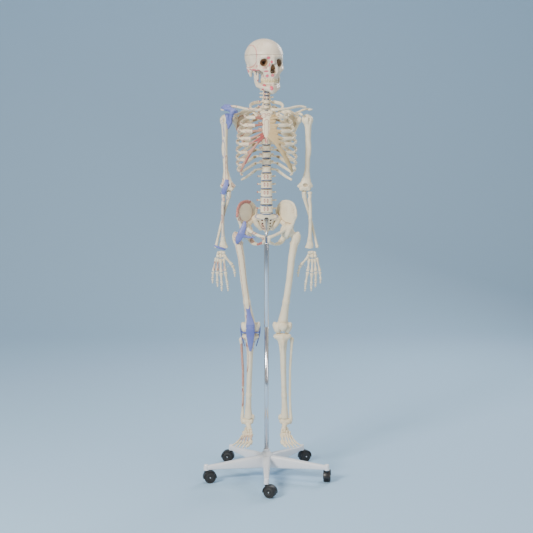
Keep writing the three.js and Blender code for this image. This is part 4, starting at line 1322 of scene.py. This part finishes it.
def heel_bone():
    bone = Clay((-20, -28, -78), (26, 66, -18), 1.7)
    bone.rod(
        (8, -14, -42, 10), (5, 6, -38, 12), (1, 30, -44, 14), (-2, 46, -50, 15), k=8,
        flat=((1, 0, 0), 1.25),
    )
    bone.ball((-2, 50, -54), (12, 9, 18), k=8)
    bone.rod((-10, -4, -32, 5), (-14, -8, -32, 4), k=6)
    bone.ball((0, -2, -22), (20, 20, 6), k=3, carve=True)
    return bone.mesh()


def foot(side, way):
    body = f"foot_{side}"
    shown = {"origin": joint_at(f"ankle_bend_{side}"), "side": way, "rounds": 4}
    red = side == "right"
    piece(f"talus_{side}", talus(), body, BONE, stands_for=[f"foot_{side}"], **shown)
    piece(
        f"heel_bone_{side}", heel_bone(), body, BONE,
        paint=[spot((0, 58, -56), (10, 10, 14), 0.3, -1)] if red else (), **shown,
    )
    for n, (name, centre, radii, turn) in enumerate(TARSALS):
        piece(f"{name}_{side}", pebble(centre, radii, n + 3, turn), body, BONE, **shown)
    for number, (points, sizes) in enumerate(TOES, 1):
        spots = [spot(
            (points[1][0] - 4, points[1][1] + 30, -48), (5, 20, 9), 0.3,
        )] if red and number < 5 else ()
        for n, bone in enumerate(digit(points, sizes, thumb=number == 1)):
            piece(
                f"toe_{number}_bone_{n + 1}_{side}", bone, body, BONE, paint=spots if n == 0 else (),
                **shown,
            )


FEMUR_MARKS = [
    stripe([(26, -14, -60), (13, -20, -130), (2, -22, -210), (-8, -20, -320)], 10.5, 0.03),
    spot((38, -10, -14), (10, 10, 12), 0.35), spot((34, -12, -34), (8, 10, 7), 0.4),
    stripe([(6, -6, -50), (22, -14, -46)], 4, 0.2, -1), spot((-4, -22, -352), (9, 10, 12), 0.1),
]


def leg(side, way):
    hip, knee = joint_at(f"hip_spread_{side}"), joint_at(f"knee_bend_{side}")
    red = side == "right"
    swivel_pin("hip", side, hip, way, -25.3)
    piece(
        f"thigh_bone_{side}", femur(), f"thigh_{side}", BONE, hip, way, stands_for=[f"femur_{side}"],
        paint=FEMUR_MARKS if red else (),
    )
    cap = middle_of(f"patella_{side}")
    sheath = LIGAMENT if red else BONE
    piece(f"kneecap_{side}", patella(), f"thigh_{side}", sheath, cap, way, stands_for=[f"patella_{side}"])
    piece(
        f"shin_bone_{side}", tibia(), f"shank_{side}", BONE, knee, way, stands_for=[f"tibia_{side}"],
        paint=[
            spot((14, -14, -120), (7, 12, 56), 0.08), spot((-14, -14, -66), (7, 12, 16), 0.1, -1),
            spot((28, -10, -44), (8, 10, 8), 0.3),
        ] if red else (),
    )
    piece(
        f"calf_bone_{side}", fibula(), f"shank_{side}", BONE, knee, way, stands_for=[f"fibula_{side}"],
        paint=[
            stripe([(36, 6, -70), (32, 2, -240)], 5, 0.7), spot((33, 0, -290), (5, 9, 34), 0.4),
        ] if red else (),
    )
    foot(side, way)


# ---- Skull ----

CAP_LEVEL = 76
HALF_CUT = 0.4
COIL_RADIANS = 63


def head_form():
    """Brain case, face and base as one block of clay, before it is parted at the cap line."""
    head = Clay((-79, -98, -32), (79, 110, 146), 1.6)
    head.ball((0, 14, 72), (74, 91, 70), k=3)
    head.ball((0, 62, 50), (50, 38, 44), k=14)
    head.ball((0, 10, 26), (54, 56, 20), k=14)
    for s in (-1, 1):
        head.ball((s * 69, -38, 50), (13, 22, 26), k=8, carve=True)
    for s in (-1, 1):
        head.rod(
            (0, -74, 66, 8.5), (s * 22, -70, 69, 8), (s * 38, -58, 68, 7), (s * 49, -44, 60, 5.5), k=8,
        )
        head.rod(
            (s * 49, -44, 60, 5.5), (s * 50.5, -43, 46, 4.8), (s * 49, -47, 32, 7),
            (s * 47, -47, 20, 8.5), (s * 45, -48, 13, 6.5), k=5,
        )
        head.rod((s * 46, -50, 22, 10), (s * 36, -59, 20, 12), (s * 24, -64, 14, 12), k=6)
        head.ball((s * 29, -50, 46), (21, 14, 20), k=6)
        head.rod(
            (s * 48, -44, 19, 8), (s * 57, -34, 20, 5.5), (s * 65, -14, 21, 4.6), (s * 65, 2, 23, 5),
            (s * 59, 10, 27, 5.5), k=5, flat=((1, 0, 0), 1.3),
        )
        head.rod((s * 54, 28, 28, 14), (s * 54, 26, 10, 9), (s * 52, 23, -5, 5), k=8)
        head.rod((s * 30, -56, 20, 17), (s * 19, -60, 2, 16), k=8)
        head.rod(
            (s * 24, -38, -8, 10), (s * 22, -54, -9, 10), (s * 12, -67, -9, 9.5), (0, -71, -9, 9), k=7,
        )
        head.rod(
            (s * 7, -76, 60, 6), (s * 11, -76, 42, 6), (s * 17, -75, 24, 6), (s * 17, -75, 8, 6),
            (s * 8, -76, -2, 6), k=5,
        )
        head.rod((s * 14, -32, 12, 4), (s * 15, -30, -8, 3), k=4)
        head.rod((s * 15, -8, 4, 6), (s * 12, 2, 2, 6), k=4)
    head.rod((0, -77, 62, 7), (0, -81, 51, 5.5), (0, -84, 43, 4.5), k=6)
    head.rod((0, -78, 3, 4), (0, -85, 1, 2), k=4)
    head.ball((0, 97, 42), (9, 5, 5), k=8)
    for s in (-1, 1):
        head.rod(
            (s * 33, -100, 45, 17.5), (s * 30.5, -56, 46, 16.5), (s * 22, -32, 47, 5),
            (s * 19, -22, 48, 2), k=3, flat=((0, 0, 1), 1.05), carve=True,
        )
        head.rod((s * 6, -100, 11, 7.5), (s * 6, -52, 11, 7), k=2, carve=True)
        head.rod((s * 58, 10, 22, 3.4), (s * 44, 8, 22, 3), k=2, carve=True)
        head.rod((s * 28, -84, 25, 2.2), (s * 26, -64, 26, 2), k=1.5, carve=True)
        head.ball((s * 44, -46, 1), (13, 20, 15), k=8, carve=True)
    head.rod(
        (0, -96, 12, 8), (0, -96, 31, 5.5), (0, -58, 30, 5.5), (0, -54, 12, 8), (0, -96, 12, 8), k=3,
        carve=True,
    )
    head.rod((0, -54, 4, 1.2), (0, -70, 4, 1.1), k=1)
    head.rod((0, -56, 4, 1.4), (0, -56, 34, 1.4), k=1, flat=((1, 0, 0), 1))
    head.ball((0, -50, -14), (15, 20, 9), k=4, carve=True)
    head.ball((0, 30, 74), (62, 66, 60), k=3, carve=True)
    head.ball((0, -14, 82), (48, 42, 32), k=6, carve=True)
    head.rod((0, 18, -20, 14), (0, 18, 30, 13), k=3, carve=True)
    return head


def seams(verts):
    """Faint wavering seams between the skull plates, across the crown, along it and over its back."""
    x, y, z = verts.T
    waver = 1.4 * np.sin(z * 1.1 + x * 0.9) + np.sin(z * 2.3 + x * 1.7)
    outer = np.linalg.norm((verts - (0, 14, 72)) / (74, 91, 70), axis=1) > 0.96
    crown = np.abs(y + 6 + 0.62 * np.abs(x) + waver)
    middle = np.abs(x + waver) + 50 * (y < -4)
    back = np.abs(y - 82 + 0.55 * np.abs(x) + waver) + 50 * (z > 118)
    near = np.minimum(np.minimum(crown, middle), back) + 50 * (z < 46)
    return np.where(outer, np.exp(-((near / 1.2) ** 2)), 0)


def socket_shade(verts):
    """How deep each place lies in an eye socket (tan) or in the nose (brown), for painted shade inside
    them.
    """
    side = np.abs(verts[:, 0])
    _, y, z = verts.T
    eye = 1.15 - np.linalg.norm(np.stack([side - 28, (y + 38), z - 46], 1) / (19, 24, 18), axis=1)
    nose = 1.2 - np.linalg.norm(np.stack([side, y + 56, z - 21], 1) / (13, 16, 21), axis=1)
    return np.maximum(np.clip(eye * 4, 0, 0.78), np.clip(nose * 4, 0, 1))


TEMPLE = [spot((-80, 8, 72), (78, 55, 45), 0.0)]
FACE_MARKS = [
    *TEMPLE, spot((-20, -78, 64), (6, 9, 5), 0.9), spot((-9, -82, 48), (4, 9, 5), 0.9),
    spot((-18, -76, 38), (4, 9, 7), 0.9), spot((-33, -63, 24), (9, 9, 2.8), 0.9),
    spot((-27, -70, 12), (9, 9, 3.2), 0.9), spot((-52, -40, 31), (6, 10, 6), 0.85),
    spot((-50, -48, 16), (7, 10, 4), 0.85), spot((-60, -28, 17), (7, 12, 4), 0.8),
    spot((-24, -74, -6), (5, 9, 5), 0.85), spot((-5, -80, -4), (6, 9, 5), 0.85),
    spot((-36, -50, -6), (5, 9, 5), 0.7), spot((-64, -4, 18), (7, 14, 4), 0.7),
    spot((-62, 32, 14), (9, 12, 7), 0.6),
]
JAW_MARKS = [
    spot((-11, -76, -68), (6, 9, 9), 0.9), spot((-31, -52, -57), (6, 9, 5), 0.9),
    spot((-33, -48, -69), (7, 9, 6), 0.9), spot((-46, -32, -38), (5, 8, 5), 0.8),
]


HALF_ARCH = 66
TEETH = [(4.3, 4.4), (3.5, 4), (3.8, 4.6), (3.6, 5), (3.6, 5), (5, 5.6), (4.9, 5.6), (4.4, 5.2)]


def teeth(front, root, crown, shrink=1.0):
    """A row of sixteen along an arch whose front is at y = front, from root level to crown level."""
    made = []
    for s in (-1, 1):
        travelled = 0
        for width, deep in TEETH:
            half = width * shrink
            travelled += half
            t = travelled / HALF_ARCH
            around = min(1, 1.35 * t) * math.pi / 2
            x, y = 28 * shrink * math.sin(around), front + 50 * t**1.6
            yaw = math.degrees(math.atan2(80 * t**0.6, 59 * math.cos(around)))
            travelled += half
            level = [
                (root, 0.72), (mix(root, crown, 0.35), 0.86), (mix(root, crown, 0.75), 1.0),
                (crown, 0.86),
            ]
            rows = [(0, 0, z, half * q, deep * q * 0.92) for z, q in level]
            tooth = loft(rows, 8, 12, (1, 0, 0), power=3, dome=0.25)
            made.append((tooth[0] @ spin((0, 0, s * yaw)).T + (s * x, y, 0), tooth[1]))
    return merged(*made)


def jaw_form():
    jaw = Clay((-60, -94, -90), (60, 18, 6), 1.5)
    for s in (-1, 1):
        jaw.ball((s * 50, 0, -3.5), (8.5, 4.5, 4.5), k=3)
        jaw.rod(
            (s * 49, -1, -8, 6), (s * 48, -3, -22, 11), (s * 47, -8, -42, 12), (s * 45, -12, -52, 11),
            k=6, flat=((1, 0, 0), 2.3),
        )
        jaw.rod(
            (s * 47, -17, -34, 10), (s * 46, -22, -18, 6), (s * 46, -24, -6, 3), k=5,
            flat=((1, 0, 0), 2),
        )
        jaw.rod(
            (s * 44, -18, -55, 11), (s * 33, -44, -63, 12), (s * 13, -65, -69, 13), (0, -69, -71, 15.5),
            k=6, flat=((0.6, -0.8, 0), 1.9),
        )
        jaw.rod(
            (s * 29, -24, -50, 5.5), (s * 26, -44, -50, 5.5), (s * 14, -60, -50, 5.5),
            (0, -66, -50, 5.2), k=4,
        )
        jaw.rod((s * 25, -54, -59, 2), (s * 29, -66, -60, 1.8), k=1.5, carve=True)
    jaw.ball((0, -72, -79), (14, 7, 9), k=7)
    return jaw.mesh()


def skull():
    form = head_form()
    whole = form.d.copy()
    shown = {"origin": HEAD, "turn": HEAD_TURN}
    form.keep(2, CAP_LEVEL - HALF_CUT, False)
    lower = piece(
        "skull_lower", form.mesh(), "skull", SKULL, stands_for=["cranium"], paint=FACE_MARKS, **shown,
    )
    form.d = whole
    form.keep(2, CAP_LEVEL + HALF_CUT, True)
    upper = piece("skull_lid", form.mesh(), "cap", SKULL, stands_for=["skull_cap"], paint=TEMPLE, **shown)
    turned = spin((0, 0, math.degrees(HEAD_TURN)))
    for made in (lower, upper):
        verts = np.array([v.co for v in made.data.vertices])
        local = (verts - HEAD) / MM @ turned
        dark = made.data.attributes["hollow"].data
        old = np.array([value.value for value in dark])
        # The suture seams darken as the skull's dark joints, and painted shade darkens the eye sockets and
        # the nose.
        dark.foreach_set(
            "value", np.maximum.reduce([old, 0.42 * seams(local), socket_shade(local)]).astype(np.float32),
        )
    piece("upper_teeth", teeth(-75.5, -12, -26.5), "skull", TOOTH, rounds=0, **shown)
    jaw_shown = {"origin": JAW, "turn": HEAD_TURN}
    piece("jaw_bone", jaw_form(), "jaw", SKULL, stands_for=["mandible"], paint=JAW_MARKS, **jaw_shown)
    piece("lower_teeth", teeth(-66.5, -52, -41.5, 0.94), "jaw", TOOTH, rounds=0, **jaw_shown)
    for name, s in SIDES.items():
        coil = [
            (s * 43 + 1.8 * math.cos(a), -30 + 1.8 * math.sin(a), 12 - 36 * a / COIL_RADIANS, 0.5)
            for a in np.linspace(0, COIL_RADIANS, 150)
        ]
        spring = loft(coil, 150, 6, (0, 0, 1))
        made = piece(f"jaw_spring_{name}", spring, None, STEEL, rounds=0, **shown)
        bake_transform(made)


# ---- Ligaments of the right side ----


def ligaments():
    """Soft blue bands, all on the skeleton's right. Those over the knee and elbow are hung on no body."""
    side, way = "right", -1

    def band(name, shape, body, origin, over=None):
        made = piece(f"{name}_{side}", shape, None if over else body, LIGAMENT, origin, way, rounds=0)
        if over:
            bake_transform(made)
        return made

    knee = joint_at(f"knee_bend_{side}")
    up, down = knee + (0, 0, 0.010), knee - (0, 0, 0.020)
    over_knee = (f"shank_{side}", up, down)
    tendon = loft(
        [(12, -24, 104, 11, 2.5), (7, -28, 70, 8.5, 3), (2, -34, 38, 14, 3.5), (0, -36, 20, 18, 4)], 30,
        20,
    )
    band("thigh_tendon", tendon, f"thigh_{side}", knee)
    rows = [
        (0, -35, 4, 18, 4), (0, -33, -20, 17, 3), (0, -35, -46, 13, 3), (0, -34, -70, 9, 3),
        (0, -32, -88, 5, 2.5),
    ]
    band("kneecap_band", loft(rows, 26, 18), f"thigh_{side}", knee, over_knee)
    for s, name in ((-1, "inner"), (1, "outer")):
        route = [
            (s * 38, 0, 14, 2.4, 8), (s * 39.5, 0, -4, 2.6, 9), (s * 37.5, 0, -24, 2.6, 9),
            (s * 31, -4, -50, 2.4, 8), (s * 24, -10, -72, 2, 5),
        ]
        band(f"{name}_knee_band", loft(route, 24, 14), f"thigh_{side}", knee, over_knee)
        rim = [
            (s * 37, 4, -14, 3, 3), (s * 33, -14, -14, 3, 3), (s * 20, -24, -14, 3, 3),
            (s * 8, -25, -14, 2, 2.4),
        ]
        band(f"{name}_knee_rim", loft(rim, 24, 12, (0, 0, 1)), f"shank_{side}", knee)

    elbow = joint_at(f"elbow_bend_{side}")
    over_elbow = (f"forearm_{side}", elbow + (0, 0, 0.010), elbow - (0, 0, 0.016))
    patch = [
        (0, -11, 36, 8, 2.5), (3, -14, 18, 10, 3), (8, -15, 4, 10, 3), (12, -14, -8, 10, 3),
        (15, -11, -22, 8, 2.5),
    ]
    band("elbow_patch", loft(patch, 24, 16), f"upper_arm_{side}", elbow, over_elbow)
    ring = [(
        16 + 10.4 * math.sin(a), -1 - 10.4 * math.cos(a), -18, 2, 3.8,
    ) for a in np.linspace(0.3, 4.9, 16)]
    band("elbow_ring_band", loft(ring, 40, 10, (0, 0, 1)), f"forearm_{side}", elbow)

    wrist = joint_at(f"wrist_bend_{side}")
    sheet = loft(
        [(-21, -8, 7, 3, 2), (-8, -14, 12, 4.5, 2), (8, -14, 17, 4.5, 2), (23, -9, 23, 3, 2)], 24, 18,
        (0, 0, 1),
    )
    band("wrist_band", sheet, f"forearm_{side}", wrist)

    shoulder = joint_at(f"shoulder_raise_{side}")
    cuff = Clay((-34, -34, -44), (30, 34, 34), 1.5)
    cuff.ball((0, 0, 0), 25.2)
    cuff.rod((-8, -14, 12, 13), (-16, -16, -12, 10), (-8, -12, -34, 5), k=6)
    cuff.ball((0, 0, 0), 22.6, k=1, carve=True)
    cuff.ball((24, -8, -2), (26, 40, 34), k=3, carve=True)
    cuff.rod((4, 0, -10, 19), (8, 0, -60, 19), k=2, carve=True)
    band("shoulder_cuff", cuff.mesh(), f"upper_arm_{side}", shoulder)
    roof = Clay((104, -32, 1452), (196, 56, 1552), 1.5)
    roof.rod((176, 26, 1525, 7), (158, 13, 1525, 11), (139, 0, 1516, 11), (122, 3, 1511, 8), k=8)
    roof.rod((146, 16, 1533, 6), (166, 20, 1531, 8), k=6)
    roof.rod((136, -5, 1508, 10), (143, -5, 1488, 7.5), (143, -3, 1466, 3.5), k=6)
    for place in ((128, -8, 1516), (150, 2, 1530), (164, 6, 1520), (140, -12, 1502)):
        roof.ball(place, (8, 7, 6), k=5)
    roof.ball(SHOULDER_LOCAL, 27, k=2, carve=True)
    band("shoulder_roof_band", roof.mesh(), "trunk", POLE_FOOT)

    x, y, z = HIP_LOCAL
    hood = Clay((x - 60, y - 52, z - 50), (x + 60, y + 20, z + 62), 1.6)
    thin = ((0.15, -0.98, 0.1), 3.2)
    hood.rod(
        (x + 1, y - 30, z + 36, 8), (x + 5, y - 34, z + 18, 11), (x + 14, y - 34, z - 4, 14),
        (x + 25, y - 27, z - 26, 14), (x + 32, y - 20, z - 44, 7), k=3, flat=thin,
    )
    hood.rod(
        (x + 8, y - 33, z - 14, 8), (x - 14, y - 38, z - 20, 5), (x - 40, y - 50, z - 20, 3.5), k=5,
        flat=thin,
    )
    hood.ball(HIP_LOCAL, 26.5, k=1, carve=True)
    band("hip_band", hood.mesh(), "trunk", POLE_FOOT)


# ---- Camera, floor and light ----


def studio():
    camera = bpy.data.objects.new("camera", bpy.data.cameras.new("camera"))
    camera.data.lens = 82.3
    camera.data.sensor_width = 36
    camera.location = Vector(POLE_FOOT) + Vector((0, -4.91, 1.57))
    aim = Vector(POLE_FOOT) + Vector((0, 0, 0.885))
    camera.rotation_euler = (aim - camera.location).to_track_quat("-Z", "Y").to_euler()
    bpy.context.scene.collection.objects.link(camera)
    bpy.context.scene.camera = camera

    look, _, _ = new_look("floor", (0.40, 0.60, 0.80), 0.8)
    size = 14
    mesh = bpy.data.meshes.new("floor")
    rows = [(-size, 0), (3.0, 0)]
    rows += [(
        3.0 + 2.5 * math.sin(a), 2.5 - 2.5 * math.cos(a),
    ) for a in np.linspace(0.1, math.pi / 2, 12)]
    rows.append((5.5, size))
    verts = [(x, y, z) for y, z in rows for x in (-size, size)]
    mesh.from_pydata(verts, [], [(2 * i, 2 * i + 1, 2 * i + 3, 2 * i + 2) for i in range(len(rows) - 1)])
    mesh.shade_smooth()
    mesh.materials.append(look)
    floor = bpy.data.objects.new("floor", mesh)
    bpy.context.scene.collection.objects.link(floor)

    lamps = [
        ("key", (-2.6, -3.4, 2.9), (0, 0, 1.0), 1.3, 260, (1, 0.96, 0.90)),
        ("fill", (3.2, -3.0, 1.8), (0, 0, 1.0), 2.2, 50, (1, 0.97, 0.93)),
        ("top", (0.3, 0.2, 4.4), (0, 0, 0.9), 1.8, 55, (1, 1, 1)),
        ("back", (1.8, 2.6, 2.6), (0, 0, 1.2), 1.6, 60, (1, 1, 1)),
    ]
    for name, place, target, width, power, colour in lamps:
        lamp = bpy.data.lights.new(name, "AREA")
        lamp.shape = "DISK"
        lamp.size = width
        lamp.energy = power
        lamp.color = colour
        made = bpy.data.objects.new(name, lamp)
        made.location = place
        made.visible_camera = False
        made.rotation_euler = (Vector(target) - Vector(place)).to_track_quat("-Z", "Y").to_euler()
        bpy.context.scene.collection.objects.link(made)
    world = bpy.data.worlds.new("studio")
    bpy.context.scene.world = world
    world.use_nodes = True
    world.node_tree.nodes["Background"].inputs["Color"].default_value = (1, 0.97, 0.92, 1)
    world.node_tree.nodes["Background"].inputs["Strength"].default_value = 0.38


studio()
star_base()
for number in range(1, 6):
    castor(number)
pole()
spine()
sacrum()
chest()
girdles()
for side, way in SIDES.items():
    arm(side, way)
    leg(side, way)
skull()
ligaments()
